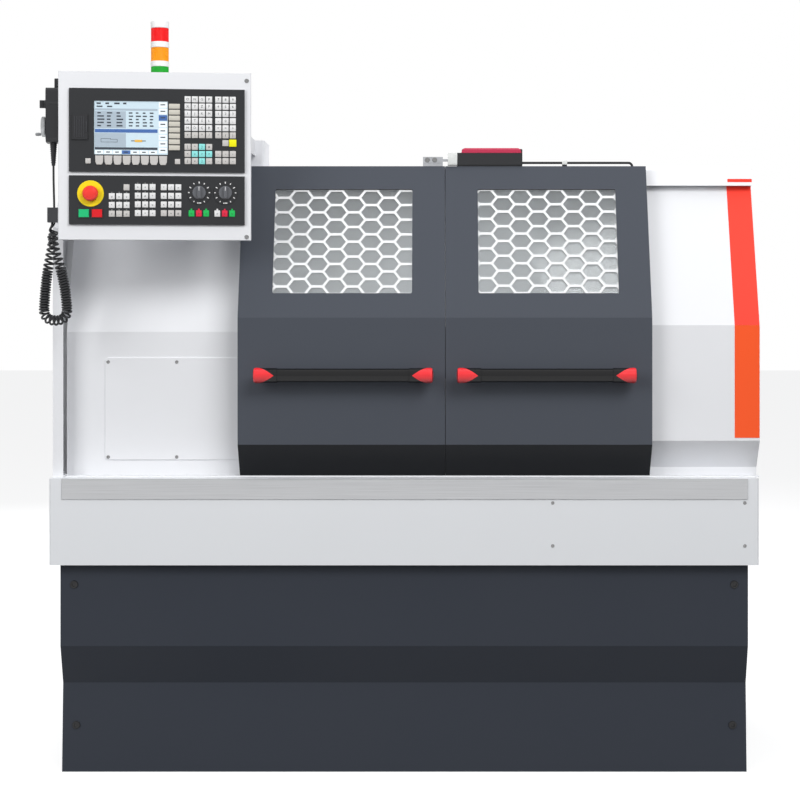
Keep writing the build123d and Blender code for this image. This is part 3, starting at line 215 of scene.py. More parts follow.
def brushed_texture_group():
    """Long fine scratches along one axis: a colour, a roughness and a height."""
    group, given, result = new_group(
        "brushed_texture",
        [("Colour", COLOUR, (0.6, 0.6, 0.6, 1)), ("Stretch", VECTOR, (4, 900, 900))],
        [("Colour", COLOUR), ("Roughness", FLOAT), ("Height", FLOAT)],
    )
    place = add_node(group, "TexCoord", {}).outputs["Object"]
    stretched = add_node(group, "VectorMath", {0: place, 1: given["Stretch"]}, "MULTIPLY")
    noise = add_node(group, "TexNoise", {"Vector": stretched.outputs[0], "Scale": 1, "Detail": 4})
    lines = noise.outputs["Fac"]
    limits = {"From Min": 0.3, "From Max": 0.7, "To Min": 0.88, "To Max": 1.05}
    level = add_node(group, "MapRange", {"Value": lines, **limits})
    tint = add_node(group, "VectorMath", {0: given["Colour"], "Scale": level.outputs[0]}, "SCALE")
    rough = add_node(group, "MapRange", {"Value": lines, "To Min": 0.28, "To Max": 0.45})
    set_inputs(group, result, {"Colour": tint.outputs[0], "Roughness": rough.outputs[0], "Height": lines})
    return group


def painted_shade_group():
    """Painted shade: the colour darkened by how far a face looks down, standing in for the shade under an
    overhang.
    """
    group, given, result = new_group(
        "painted_shade", [("Colour", COLOUR, GREY), ("Darkening", FLOAT, 0.7)], [("Colour", COLOUR)],
    )
    normal = add_node(group, "NewGeometry", {}).outputs["True Normal"]
    parts = add_node(group, "SeparateXYZ", {0: normal})
    down = add_node(group, "MapRange", {"Value": parts.outputs["Z"], "From Min": -0.25, "From Max": -0.55})
    dark = add_node(group, "Math", {0: down.outputs[0], 1: given["Darkening"]}, "MULTIPLY")
    left = add_node(group, "Math", {0: 1, 1: dark.outputs[0]}, "SUBTRACT")
    tint = add_node(group, "VectorMath", {0: given["Colour"], "Scale": left.outputs[0]}, "SCALE")
    set_inputs(group, result, {"Colour": tint.outputs[0]})
    return group


def side_fitting_group():
    """Dark plastic for the fittings beyond the control box's left side."""
    group, given, result = new_group(
        "side_fitting",
        [("Colour", COLOUR, GREY), ("Fitting", COLOUR, (0.05, 0.05, 0.05, 1))],
        [("Colour", COLOUR)],
    )
    place = add_node(group, "TexCoord", {}).outputs["Object"]
    offset = add_node(group, "VectorMath", {0: place, 1: (*BOX_MIDDLE, 0)}, "SUBTRACT")
    direction = (math.cos(BOX_TURN), math.sin(BOX_TURN), 0)
    across = add_node(group, "VectorMath", {0: offset.outputs[0], 1: direction}, "DOT_PRODUCT")
    outside = add_node(group, "Math", {0: across.outputs["Value"], 1: -BOX_HALF_WIDTH}, "LESS_THAN")
    mix = add_node(group, "Mix", {})
    mix.data_type = "RGBA"
    set_inputs(group, mix, {0: outside.outputs[0], 6: given["Colour"], 7: given["Fitting"]})
    set_inputs(group, result, {"Colour": mix.outputs[2]})
    return group


def add_effect(material, group, settings):
    """Put a colour effect between a material's texture and its shader."""
    tree = material.node_tree
    shader = tree.nodes["Principled BSDF"]
    source = shader.inputs["Base Color"].links[0].from_socket
    effect = add_group(tree, group, {"Colour": source, **settings})
    set_inputs(tree, shader, {"Base Color": effect.outputs["Colour"]})


# Finishes
SURFACE = surface_texture_group()
BRUSHED = brushed_texture_group()
COAT_ROUGHNESS = 0.12
RELIEF_DEPTH = 0.0004
PLASTIC_BUMP = 0.08


def linear(red, green, blue):
    """A colour written in screen values from 0 to 255, as the shader takes it."""
    values = []
    for value in (red, green, blue):
        value /= 255
        values.append(value / 12.92 if value < 0.04045 else ((value + 0.055) / 1.055) ** 2.4)
    return (*values, 1)


def new_material(name, group, settings):
    """A material with a texture group's colour and roughness: also its tree, shader and texture's outputs."""
    material = bpy.data.materials.new(name)
    material.use_nodes = True
    tree = material.node_tree
    texture = add_group(tree, group, settings).outputs
    shader = tree.nodes["Principled BSDF"]
    set_inputs(tree, shader, {"Base Color": texture["Colour"], "Roughness": texture["Roughness"]})
    return material, tree, shader, texture


def glow(colour, strength):
    """The shader's settings for a surface that gives a little light, or none."""
    if not strength:
        return {}
    return {"Emission Color": linear(*colour), "Emission Strength": strength}


def finish_shader(name, group, settings, bump, metallic=0, coat=0, specular=0.5, emission=None):
    """A material whose colour, roughness and relief come from a texture group."""
    material, tree, shader, texture = new_material(name, group, settings)
    height = {"Height": texture["Height"], "Strength": bump, "Distance": RELIEF_DEPTH}
    relief = add_node(tree, "Bump", height)
    set_inputs(tree, shader, {
        "Normal": relief.outputs["Normal"], "Metallic": metallic, "Specular IOR Level": specular,
        "Coat Weight": coat, "Coat Roughness": COAT_ROUGHNESS, **(emission or {}),
    })
    return material


def paint(name, colour, roughness=0.5, uneven=0.04, grain=900, bump=0.25, specular=0.3):
    """A satin or textured paint."""
    settings = {"Colour": linear(*colour), "Roughness": roughness, "Unevenness": uneven, "Grain scale": grain}
    return finish_shader(name, SURFACE, settings, bump, specular=specular)


def plastic(name, colour, roughness=0.4, coat=0, emission=0, specular=0.5):
    """A moulded or printed plastic surface."""
    settings = {"Colour": linear(*colour), "Roughness": roughness, "Unevenness": 0.03, "Grain scale": 1600}
    shine = glow(colour, emission)
    return finish_shader(name, SURFACE, settings, PLASTIC_BUMP, coat=coat, specular=specular, emission=shine)


def metal(name, colour, stretch, bump):
    """A ground or brushed metal."""
    return finish_shader(name, BRUSHED, {"Colour": linear(*colour), "Stretch": stretch}, bump, metallic=1)


def glass(name, colour, roughness, transmission, emission=0):
    """A clear or tinted plastic that light passes through."""
    settings = {"Colour": linear(*colour), "Roughness": roughness, "Unevenness": 0.02, "Grain scale": 300}
    material, tree, shader, _ = new_material(name, SURFACE, settings)
    constants = {"Metallic": 0, "Transmission Weight": transmission, "IOR": 1.45}
    set_inputs(tree, shader, {**constants, **glow(colour, emission)})
    return material


# Paints: screen colour, roughness, unevenness, grain scale, bump strength, mirror strength
PAINTS = {
    "slate_powder_coat": ((52, 56, 64), 0.55, 0.09, 1400, 0.35, 0.2),
    "grey_door_paint": ((74, 78, 86), 0.5, 0.08, 1400, 0.35, 0.2),
    "white_powder_coat": ((232, 233, 236), 0.42, 0.02, 1200, 0.25),
    "white_tray_paint": ((226, 228, 231), 0.38, 0.02, 900, 0.2),
    "white_guard_paint": ((236, 237, 238), 0.45, 0.02, 1500, 0.15),
    # The stripe is one film: the difference between its orange upright tone and its redder slope tone is
    # painted light for the change of light at the fold
    "orange_stripe_paint": ((251, 92, 42), 0.4, 0.03, 900, 0.1),
    "red_stripe_paint": ((250, 68, 52), 0.4, 0.03, 900, 0.1),
    "box_powder_coat": ((232, 233, 236), 0.4, 0.02, 1300, 0.2),
    "machine_cast_paint": ((120, 122, 122), 0.55, 0.1, 500, 0.5),
    "motor_black_paint": ((38, 39, 42), 0.5, 0.04, 700, 0.4),
}
# Metals: screen colour, how the scratches stretch along each axis, bump strength
METALS = {
    "brushed_trim": ((188, 189, 191), (5, 700, 700), 0.08),
    "ground_steel": ((186, 188, 192), (60, 60, 60), 0.03),
    "turned_steel": ((178, 180, 184), (700, 4, 4), 0.05),
    "zinc_screw": ((200, 200, 198), (300, 300, 300), 0.04),
    "brushed_aluminium": ((190, 192, 196), (5, 600, 600), 0.05),
    "screw_steel": ((150, 150, 150), (300, 300, 300), 0.04),
    "silver_wheel": ((176, 178, 180), (300, 300, 300), 0.03),
}
# Plastics: screen colour, roughness, coat, glow, mirror strength
PLASTICS = {
    "panel_film": ((47, 48, 50), 0.45, 0, 0, 0.25),
    "black_moulding": ((27, 28, 31), 0.42),
    "gloss_black_bar": ((9, 9, 11), 0.22, 0.12, 0, 0.3),
    "red_end_cap": ((236, 30, 40), 0.3, 0.4),
    "red_button": ((242, 48, 34), 0.32, 0.35),
    "yellow_disc": ((246, 219, 20), 0.4),
    "green_button": ((18, 190, 118), 0.35),
    "red_square_button": ((222, 10, 26), 0.35),
    "light_key": ((228, 228, 228), 0.45),
    "grey_key": ((200, 197, 194), 0.45),
    "yellow_key": ((246, 239, 10), 0.45),
    "teal_key": ((143, 226, 223), 0.45),
    "green_key": ((24, 182, 84), 0.45),
    "red_key": ((221, 36, 68), 0.45),
    "beige_key": ((205, 201, 190), 0.45),
    "key_print": ((52, 54, 60), 0.5),
    "key_lamp": ((120, 122, 120), 0.35),
    "screen_page": ((190, 209, 219), 0.25, 0.3, 0.25),
    "screen_field": ((160, 174, 186), 0.25, 0.3, 0.2),
    "screen_bar": ((58, 96, 158), 0.25, 0.3, 0.2),
    "screen_ink": ((50, 58, 70), 0.25, 0.3),
    "screen_label": ((222, 230, 234), 0.25, 0.3, 0.3),
    "screen_amber": ((222, 170, 60), 0.25, 0.3, 0.2),
    "black_cord": ((24, 25, 28), 0.45, 0.15),
    "black_bolt": ((20, 20, 22), 0.5),
    "belt_rubber": ((30, 30, 31), 0.7),
    "grey_wheel": ((150, 152, 155), 0.4),
    "white_ring": ((238, 238, 238), 0.4),
    "dial_disc": ((28, 29, 32), 0.4),
    "white_mark": ((236, 236, 236), 0.45),
    "dial_knob_grey": ((92, 94, 99), 0.4, 0.15),
    "button_bezel": ((34, 35, 38), 0.4),
    "port_flap_grey": ((46, 47, 51), 0.45),
    "interlock_cover_red": ((184, 39, 75), 0.4, 0.2),
    "pale_latch": ((222, 224, 222), 0.4, 0.2),
}
# Clear plastics: screen colour, roughness, share of light let through, glow
CLEAR = {
    "safety_pane": ((236, 240, 240), 0.05, 0.95),
    "red_lens": ((238, 2, 10), 0.25, 0.1, 0.06),
    "amber_lens": ((245, 156, 2), 0.25, 0.1, 0.06),
    "green_lens": ((14, 164, 40), 0.25, 0.1, 0.06),
}
FINISH = {}
for make, table in ((paint, PAINTS), (metal, METALS), (plastic, PLASTICS), (glass, CLEAR)):
    for finish, row in table.items():
        FINISH[finish] = make(finish, *row)

# Painted shade on the faces of the doors and the base that look down
PAINTED_SHADE = painted_shade_group()
add_effect(FINISH["grey_door_paint"], PAINTED_SHADE, {"Darkening": 0.85})
add_effect(FINISH["slate_powder_coat"], PAINTED_SHADE, {"Darkening": 0.8})
add_effect(FINISH["box_powder_coat"], side_fitting_group(), {"Fitting": linear(58, 59, 62)})

# The CAD nodes that take each finish
NODE_FINISHES = {
    "slate_powder_coat": ["base_cabinet", "base_front_panel"],
    "grey_door_paint": ["left_door", "right_door"],
    "white_tray_paint": ["chip_tray"],
    "brushed_trim": ["tray_trim_strip"],
    "white_powder_coat": [
        "left_cover", "left_end_panel", "access_panel", "right_cover", "roof_panel", "rear_panel",
        "electrical_cabinet", "door_rails", "panel_arm",
    ],
    "box_powder_coat": ["control_box"],
    "white_guard_paint": ["left_mesh", "right_mesh"],
    "safety_pane": ["left_window", "right_window"],
    "panel_film": ["operator_panel", "machine_panel"],
    "black_moulding": [
        "pendant_body", "pendant_knob", "usb_flap", "feed_dial", "spindle_dial", "interlock_switch",
        "tower_stem", "tailstock_handwheel",
    ],
    "grey_wheel": ["pendant_wheel"],
    "red_button": ["estop_button"],
    "green_button": ["start_button"],
    "red_square_button": ["stop_button"],
    "black_cord": ["interlock_cable"],
    "machine_cast_paint": ["bed", "headstock", "saddle", "cross_slide", "tailstock_body"],
    "ground_steel": [
        "interlock_key", "spindle", "chuck_jaw_1", "chuck_jaw_2", "chuck_jaw_3", "z_ballscrew",
        "turret_head", "turret_tools", "tailstock_quill",
    ],
    "turned_steel": ["chuck_body"],
    "brushed_aluminium": ["spindle_pulley", "motor_pulley"],
    "belt_rubber": ["drive_belt"],
    "motor_black_paint": ["spindle_motor", "z_servo_motor"],
}


def finish_nodes():
    """Give the CAD nodes their finishes."""
    for finish, nodes in NODE_FINISHES.items():
        for node in nodes:
            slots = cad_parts[node].data.materials
            if not slots:
                slots.append(FINISH[finish])
            for index in range(len(slots)):
                slots[index] = FINISH[finish]


# Shared ways of making pieces
BOX_FRAME = Matrix.Translation((*BOX_MIDDLE, 0)) @ Matrix.Rotation(BOX_TURN, 4, "Z")
TO_FRONT = Matrix.Rotation(math.radians(90), 4, "X")
FORWARD = (0, -1, 0)
NOTHING = 1e-6
FRONT_OF_ALL = -2.0


def add_piece(name, bm, finishes, body, smooth=35):
    """A mesh piece on a body, smooth except along edges sharper than an angle, or flat where that is 0."""
    mesh = bpy.data.meshes.new(name)
    bmesh.ops.recalc_face_normals(bm, faces=bm.faces)
    for face in bm.faces:
        face.smooth = bool(smooth)
    if smooth:
        for edge in bm.edges:
            if len(edge.link_faces) == 2 and edge.calc_face_angle(0) > math.radians(smooth):
                edge.smooth = False
    bm.to_mesh(mesh)
    bm.free()
    piece = bpy.data.objects.new(name, mesh)
    bpy.context.collection.objects.link(piece)
    for finish in [finishes] if isinstance(finishes, str) else finishes:
        mesh.materials.append(FINISH[finish])
    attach(piece, body)
    return piece


def add_block(bm, low, high, bevel=0.0008, matrix=None, material=0, segments=2):
    """A box between two corners with rounded edges."""
    size = Vector(high) - Vector(low)
    middle = (Vector(high) + Vector(low)) / 2
    made = bmesh.ops.create_cube(bm, size=1)["verts"]
    for vert in made:
        vert.co = Vector([value * side for value, side in zip(vert.co, size)]) + middle
    edges = list({edge for vert in made for edge in vert.link_edges})
    bevel = min(bevel, 0.45 * min(abs(value) for value in size))
    done = bmesh.ops.bevel(bm, geom=edges, offset=bevel, segments=segments, profile=0.5, affect="EDGES")
    verts = {vert for face in done["faces"] for vert in face.verts}
    verts |= {vert for vert in made if vert.is_valid}
    faces = {face for vert in verts for face in vert.link_faces}
    for face in faces:
        face.material_index = material
    if matrix is not None:
        bmesh.ops.transform(bm, matrix=matrix, verts=list({vert for face in faces for vert in face.verts}))


def add_circle(bm, radius, height, matrix, segments):
    """Points round local Z, or one point where the radius is nothing."""
    if radius < NOTHING:
        return [bm.verts.new(matrix @ Vector((0, 0, height)))]
    ring = []
    for step in range(segments):
        angle = 2 * math.pi * step / segments
        place = Vector((radius * math.cos(angle), radius * math.sin(angle), height))
        ring.append(bm.verts.new(matrix @ place))
    return ring


def add_band(bm, low, high, material=0):
    """Faces between two rings of points, of which one may be a single point."""
    count = max(len(low), len(high))
    if count == 1:
        return
    for step in range(count):
        ahead = (step + 1) % count
        if len(low) == 1:
            corners = (low[0], high[ahead], high[step])
        elif len(high) == 1:
            corners = (low[step], low[ahead], high[0])
        else:
            corners = (low[step], low[ahead], high[ahead], high[step])
        bm.faces.new(corners).material_index = material


def add_skin(bm, rings, material=0):
    """A closed skin over rings of points."""
    for low, high in zip(rings, rings[1:]):
        add_band(bm, low, high, material)
    for ring in (rings[0], rings[-1]):
        if len(ring) > 1:
            bm.faces.new(ring).material_index = material


def add_turned(bm, profile, matrix, segments=40, material=0):
    """A shape turned round local Z from points of radius and height, closed at both ends."""
    add_skin(bm, [add_circle(bm, radius, height, matrix, segments) for radius, height in profile], material)


def add_ring(bm, inner, outer, low, high, matrix, bevel, segments):
    """A washer or sleeve round local Z with softened rims."""
    profile = [
        (inner, low), (outer - bevel, low), (outer, low + bevel), (outer, high - bevel),
        (outer - bevel, high), (inner, high),
    ]
    rings = [add_circle(bm, radius, height, matrix, segments) for radius, height in profile]
    for index, ring in enumerate(rings):
        add_band(bm, ring, rings[(index + 1) % len(rings)])


def facing(place, normal):
    """A frame at a place whose Z points along a surface's normal and whose Y is as near up as it can be."""
    out = Vector(normal).normalized()
    right = Vector((0, 0, 1)).cross(out)
    if right.length < 1e-3:
        right = Vector((1, 0, 0))
    right.normalize()
    up = out.cross(right)
    turn = Matrix((right, up, out)).transposed().to_4x4()
    return Matrix.Translation(place) @ turn


def front_seat(node, x, z):
    """The place and the normal where a line from the front meets a CAD node."""
    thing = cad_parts[node]
    hit, place, normal, _ = thing.ray_cast(Vector((x, FRONT_OF_ALL, z)), Vector((0, 1, 0)))
    if not hit:
        raise RuntimeError(f"nothing of {node} at x {x}, z {z}")
    if normal.y > 0:
        normal = -normal
    return place, normal


def on_box(across, height, depth=-PANEL_FACE, outward=FORWARD):
    """A frame on the control box, whose Z points at the operator or another way out of the box."""
    place = BOX_FRAME @ Vector((across, depth, height))
    return facing(place, BOX_FRAME.to_3x3() @ Vector(outward))


def add_rim(bm, left, right, foot, top, rim, front, back):
    """Four bars round a rectangle on the box's front."""
    for low_u, high_u, low_z, high_z in (
        (left - rim, right + rim, top, top + rim), (left - rim, right + rim, foot - rim, foot),
        (left - rim, left, foot, top), (right, right + rim, foot, top),
    ):
        add_block(bm, (low_u, front, low_z), (high_u, back, high_z), bevel=0.0004, matrix=BOX_FRAME)


# Pendant cord: a straight stretch, loose turns, a fanned loop at the bottom, and back into the box
CORD_THICK = 0.0052
COIL_OUTER = 0.026
CORD_EXIT = (-0.8378, -0.5527, 1.474)
STRAIGHT_ROUTE = [CORD_EXIT, (-0.8378, -0.5527, 1.437), (-0.836, -0.553, 1.387)]
COIL_ROUTE = [
    (-0.836, -0.553, 1.346), (-0.836, -0.553, 1.300), (-0.850, -0.559, 1.230), (-0.857, -0.562, 1.160),
    (-0.859, -0.563, 1.104), (-0.800, -0.575, 1.104), (-0.802, -0.578, 1.160), (-0.814, -0.581, 1.228),
    (-0.835, -0.583, 1.287), (-0.835, -0.583, 1.337),
]
TURN_POINTS = 14
# The turns grow over the first stretch of the route and shrink over the last, and stop just short of its end
COIL_START = 0.032
STOP_SHORT = 0.004
# How far the cord runs on in one turn
START_PITCH = 0.055
LOOSE_PITCH = 0.0125
CLOSE_PITCH = 0.0063
FANNED_PITCH = 0.0098
# The turns close over a short height above this one, and fan out below the other
LOOSE_ABOVE = 1.219
CLOSING_HEIGHT = 0.02
FANNED_BELOW = 1.125
# How uneven the turns are: a share of their size, and two slow waves that seldom meet
WANDER = 0.035
WANDER_WAVES = (2.3, 0.71)


def nurbs_curve(name, points, bevel=0.0, resolution=2):
    """A curve of one open NURBS spline that starts and ends at its first and last points."""
    data = bpy.data.curves.new(name, "CURVE")
    data.dimensions = "3D"
    data.resolution_u = resolution
    data.bevel_depth = bevel
    data.bevel_resolution = 2
    data.use_fill_caps = True
    spline = data.splines.new("NURBS")
    spline.points.add(len(points) - 1)
    for point, place in zip(spline.points, points):
        point.co = (*place, 1)
    spline.order_u = 3
    spline.use_endpoint_u = True
    curve = bpy.data.objects.new(name, data)
    bpy.context.collection.objects.link(curve)
    return curve


def mesh_of(thing):
    """The mesh of a curve or a text, which is then removed."""
    bpy.context.view_layer.update()
    mesh = bpy.data.meshes.new_from_object(thing)
    data = thing.data
    bpy.data.objects.remove(thing)
    bpy.data.curves.remove(data)
    return mesh


def coil_pitch(height, reach):
    """How far the cord runs on in a turn: by its height, and longer where the turns grow."""
    if reach < 1:
        return CLOSE_PITCH + (START_PITCH - CLOSE_PITCH) * (1 - reach * reach)
    if height > LOOSE_ABOVE + CLOSING_HEIGHT:
        return LOOSE_PITCH
    if height > LOOSE_ABOVE:
        return CLOSE_PITCH + (LOOSE_PITCH - CLOSE_PITCH) * (height - LOOSE_ABOVE) / CLOSING_HEIGHT
    return FANNED_PITCH if height < FANNED_BELOW else CLOSE_PITCH


def coil_turns(route, radius):
    """Helix points round a route, which leave its line at one end and come back to it at the other."""
    guide = mesh_of(nurbs_curve("route_guide", route, resolution=24))
    places = [vert.co.copy() for vert in guide.vertices]
    bpy.data.meshes.remove(guide)
    steps = [0.0]
    for low, high in zip(places, places[1:]):
        steps.append(steps[-1] + (high - low).length)
    total = steps[-1]
    side = Vector((1, 0, 0))
    angle, travelled, index = 0.0, 0.0, 0
    helix = []
    while travelled < total - STOP_SHORT:
        while index < len(steps) - 2 and steps[index + 1] < travelled:
            index += 1
        run = places[index + 1] - places[index]
        share = (travelled - steps[index]) / max(run.length, 1e-9)
        middle = places[index] + run * share
        along = run.normalized()
        side = (side - along * side.dot(along)).normalized()
        across = along.cross(side)
        reach = min(1, travelled / COIL_START, (total - travelled) / COIL_START)
        turns = angle / (2 * math.pi)
        wander = 1 + WANDER * math.sin(WANDER_WAVES[0] * turns) * math.sin(WANDER_WAVES[1] * turns)
        size = radius * wander * reach * reach * (3 - 2 * reach)
        helix.append(middle + (side * math.cos(angle) + across * math.sin(angle)) * size)
        travelled += coil_pitch(middle.z, reach) / TURN_POINTS
        angle += 2 * math.pi / TURN_POINTS
    return helix


def add_pendant_cord():
    """The curly cord that joins the pendant to the control box."""
    helix = coil_turns(COIL_ROUTE, COIL_OUTER / 2 - CORD_THICK / 2)
    points = [Vector(place) for place in STRAIGHT_ROUTE] + helix + [Vector(COIL_ROUTE[-1])]
    cord = nurbs_curve("curly_pendant_cord", points, bevel=CORD_THICK / 2)
    cord.data.materials.append(FINISH["black_cord"])
    for spline in cord.data.splines:
        spline.use_smooth = True
    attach(cord, "box")
    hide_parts("pendant_cord", "pendant_coil")


# Operator panel and machine panel: keys, screen, dials and their marks
KEY_SIZE = 0.0146
KEY_BACK = -PANEL_FACE + 0.0002
KEY_FRONT = -PANEL_FACE - KEY_RISE
MARK_FRONT = KEY_FRONT - 0.00015

# Each block of keys: its centre, its pitch and its counts, across and up
LETTER_BLOCK = ((0.1022, 1.588), (0.0169, 0.017), (4, 6))
NUMBER_BLOCK = ((0.1665, 1.588), (0.0172, 0.017), (3, 6))
CURSOR_BLOCK = ((0.1022, 1.5005), (0.0169, 0.017), (4, 3))
PAGE_BLOCK = ((0.1665, 1.4925), (0.0172, 0.017), (3, 2))
MODE_BLOCKS = [
    ((-0.0842, 1.378), (0.0173, 0.0207), (3, 3)),
    ((-0.0232, 1.390), (0.0173, 0.0207), (3, 4)),
    ((0.0377, 1.390), (0.0172, 0.0206), (3, 4)),
]
LETTER_ROWS = ["ONGP", "XYZF", "IJKM", "RTSL", "HDCB", "+-*/"]
NUMBER_ROWS = ["789", "456", "123", "-0.", "=<>", "^()"]
CURSOR_ROWS = ["[^]#", "<o>+", "[v]-"]
CURSOR_CROSS = {(0, 2), (1, 1), (1, 2), (1, 3), (2, 2)}
MODE_SIGNS = "oxv^<>+-=#*/"
# The coloured keys below the dials: place across, and the finish by its place in the machine keys' list
DIAL_KEYS = [(0.0859, 2), (0.1033, 3), (0.1207, 2), (0.147, 0), (0.1645, 3), (0.182, 2)]

SOFT_KEYS = 8
SOFT_KEY_MIDDLE, SOFT_KEY_PITCH = -0.056, 0.0214
# A tapered soft key: half its width at three heights, from the top
SOFT_KEY_SHAPE = [(0.0096, 1.4950), (0.0090, 1.4800), (0.0062, 1.4735)]


def key_places(block):
    """The places of a block's keys, row by row from the top."""
    (middle_u, middle_z), (pitch_u, pitch_z), (across, up) = block
    rows = []
    for row in range(up):
        height = middle_z + pitch_z * ((up - 1) / 2 - row)
        rows.append([(middle_u + pitch_u * (column - (across - 1) / 2), height) for column in range(across)])
    return rows


def add_key(bm, place, size=(KEY_SIZE, KEY_SIZE), material=0):
    """One raised key cap on the box's front."""
    u, z = place
    low = (u - size[0] / 2, KEY_FRONT, z - size[1] / 2)
    high = (u + size[0] / 2, KEY_BACK, z + size[1] / 2)
    add_block(bm, low, high, bevel=0.0009, matrix=BOX_FRAME, material=material)


GLYPHS = {}


def glyph_mesh(letter):
    """The flat mesh of one character, made once."""
    if letter not in GLYPHS:
        data = bpy.data.curves.new("glyph", "FONT")
        data.body = letter
        data.align_x = "CENTER"
        data.align_y = "CENTER"
        data.size = 1
        data.resolution_u = 2
        thing = bpy.data.objects.new("glyph", data)
        bpy.context.collection.objects.link(thing)
        GLYPHS[letter] = mesh_of(thing)
    return GLYPHS[letter]


def add_mark(bm, letter, place, size):
    """One printed character on a key."""
    here = BOX_FRAME @ Matrix.Translation((place[0], MARK_FRONT, place[1])) @ TO_FRONT @ Matrix.Scale(size, 4)
    start = len(bm.verts)
    bm.from_mesh(glyph_mesh(letter))
    bm.verts.ensure_lookup_table()
    bmesh.ops.transform(bm, matrix=here, verts=bm.verts[start:])


def add_keyboard():
    """The operator panel's key caps and their marks."""
    bm = bmesh.new()
    marks = bmesh.new()
    light, grey, teal, yellow = range(4)
    for block, letters in ((LETTER_BLOCK, LETTER_ROWS), (NUMBER_BLOCK, NUMBER_ROWS)):
        for row, (places, text) in enumerate(zip(key_places(block), letters)):
            for place, letter in zip(places, text):
                add_key(bm, place, material=grey if row == len(letters) - 1 else light)
                add_mark(marks, letter, place, 0.0085)
    for row, (places, text) in enumerate(zip(key_places(CURSOR_BLOCK), CURSOR_ROWS)):
        for column, (place, letter) in enumerate(zip(places, text)):
            add_key(bm, place, material=teal if (row, column) in CURSOR_CROSS else grey)
            add_mark(marks, letter, place, 0.008)
    for places in key_places(PAGE_BLOCK):
        for place in places:
            add_key(bm, place, material=grey)
            add_mark(marks, "-", place, 0.008)
    add_key(bm, (0.1664, 1.527), material=grey)
    add_key(bm, (0.1836, 1.527), (0.0172, 0.0172), yellow)
    for u in (-0.157, 0.053):
        add_key(bm, (u, 1.482), (0.0125, 0.0125), grey)
    add_piece("keyboard_caps", bm, ["light_key", "grey_key", "teal_key", "yellow_key"], "box")
    add_piece("keyboard_marks", marks, "key_print", "box", smooth=0)


def add_soft_keys():
    """The keys below and beside the screen: tapered ones below, wide ones on the right."""
    bm = bmesh.new()
    middle = SOFT_KEY_SHAPE[1][1]
    for index in range(SOFT_KEYS):
        u = SOFT_KEY_MIDDLE + SOFT_KEY_PITCH * (index - (SOFT_KEYS - 1) / 2)
        top, waist, foot = [[(u - half, height), (u + half, height)] for half, height in SOFT_KEY_SHAPE]
        outline = [top[0], top[1], waist[1], foot[1], foot[0], waist[0]]
        rings = []
        for depth, inset in ((KEY_BACK, 0), (KEY_FRONT + 0.0006, 0), (KEY_FRONT, 0.0007)):
            ring = []
            for across, height in outline:
                across += inset * (1 if across < u else -1)
                height += inset * (1 if height < middle else -1)
                ring.append(bm.verts.new(BOX_FRAME @ Vector((across, depth, height))))
            rings.append(ring)
        add_skin(bm, rings)
    for index in range(SOFT_KEYS):
        add_key(bm, (0.0455, 1.6135 - 0.0141 * index), (0.0262, 0.0118), 1)
    add_piece("soft_keys", bm, ["grey_key", "beige_key"], "box")


# The screen's picture: a generic page of two tables, bars, a workpiece outline and soft key labels
SCREEN_LEFT, SCREEN_RIGHT, SCREEN_TOP, SCREEN_FOOT = -0.143, 0.030, 1.625, 1.498
TABLE_ROWS = 5
PAGE_LAYER = 0.00012
# Plain areas and the workpiece: left, right, top and foot as shares of the screen, layer, and finish
PALE, FIELD, BLUE, INK, LABEL, AMBER = range(6)
AREAS = [
    (0, 1, 0, 1, 0, PALE), (0.01, 0.86, 0.14, 0.18, 1, FIELD), (0.01, 0.43, 0.19, 0.51, 1, FIELD),
    (0.01, 0.43, 0.60, 0.86, 1, FIELD), (0.01, 0.86, 0.525, 0.59, 2, BLUE), (0.01, 0.86, 0.865, 0.91, 2, INK),
]
WORKPIECE = [
    (0.09, 0.22, 0.70, 0.706, 4, INK), (0.22, 0.225, 0.70, 0.72, 4, INK),
    (0.22, 0.31, 0.714, 0.72, 4, INK), (0.31, 0.315, 0.714, 0.77, 4, INK),
    (0.09, 0.315, 0.765, 0.771, 4, INK), (0.09, 0.095, 0.70, 0.771, 4, INK),
    (0.50, 0.70, 0.735, 0.75, 4, INK), (0.55, 0.65, 0.722, 0.765, 5, AMBER),
]


def add_tile(bm, left, right, top, foot, layer, material):
    """One flat tile of the picture, placed by shares of the screen's width and height from its top left."""
    wide, tall = SCREEN_RIGHT - SCREEN_LEFT, SCREEN_TOP - SCREEN_FOOT
    low = (SCREEN_LEFT + left * wide, -0.0044 - PAGE_LAYER * layer, SCREEN_TOP - foot * tall)
    high = (SCREEN_LEFT + right * wide, -0.0040, SCREEN_TOP - top * tall)
    add_block(bm, low, high, bevel=0.00003, matrix=BOX_FRAME, material=material, segments=1)


def add_words(bm, chance, left, right, top, tall, count):
    """A row of short dark bars that stand for values."""
    pitch = (right - left) / count
    for index in range(count):
        start = left + pitch * index + 0.1 * pitch
        long = pitch * (0.35 + 0.4 * chance.random())
        add_tile(bm, start, start + long, top, top + tall, 4, INK)


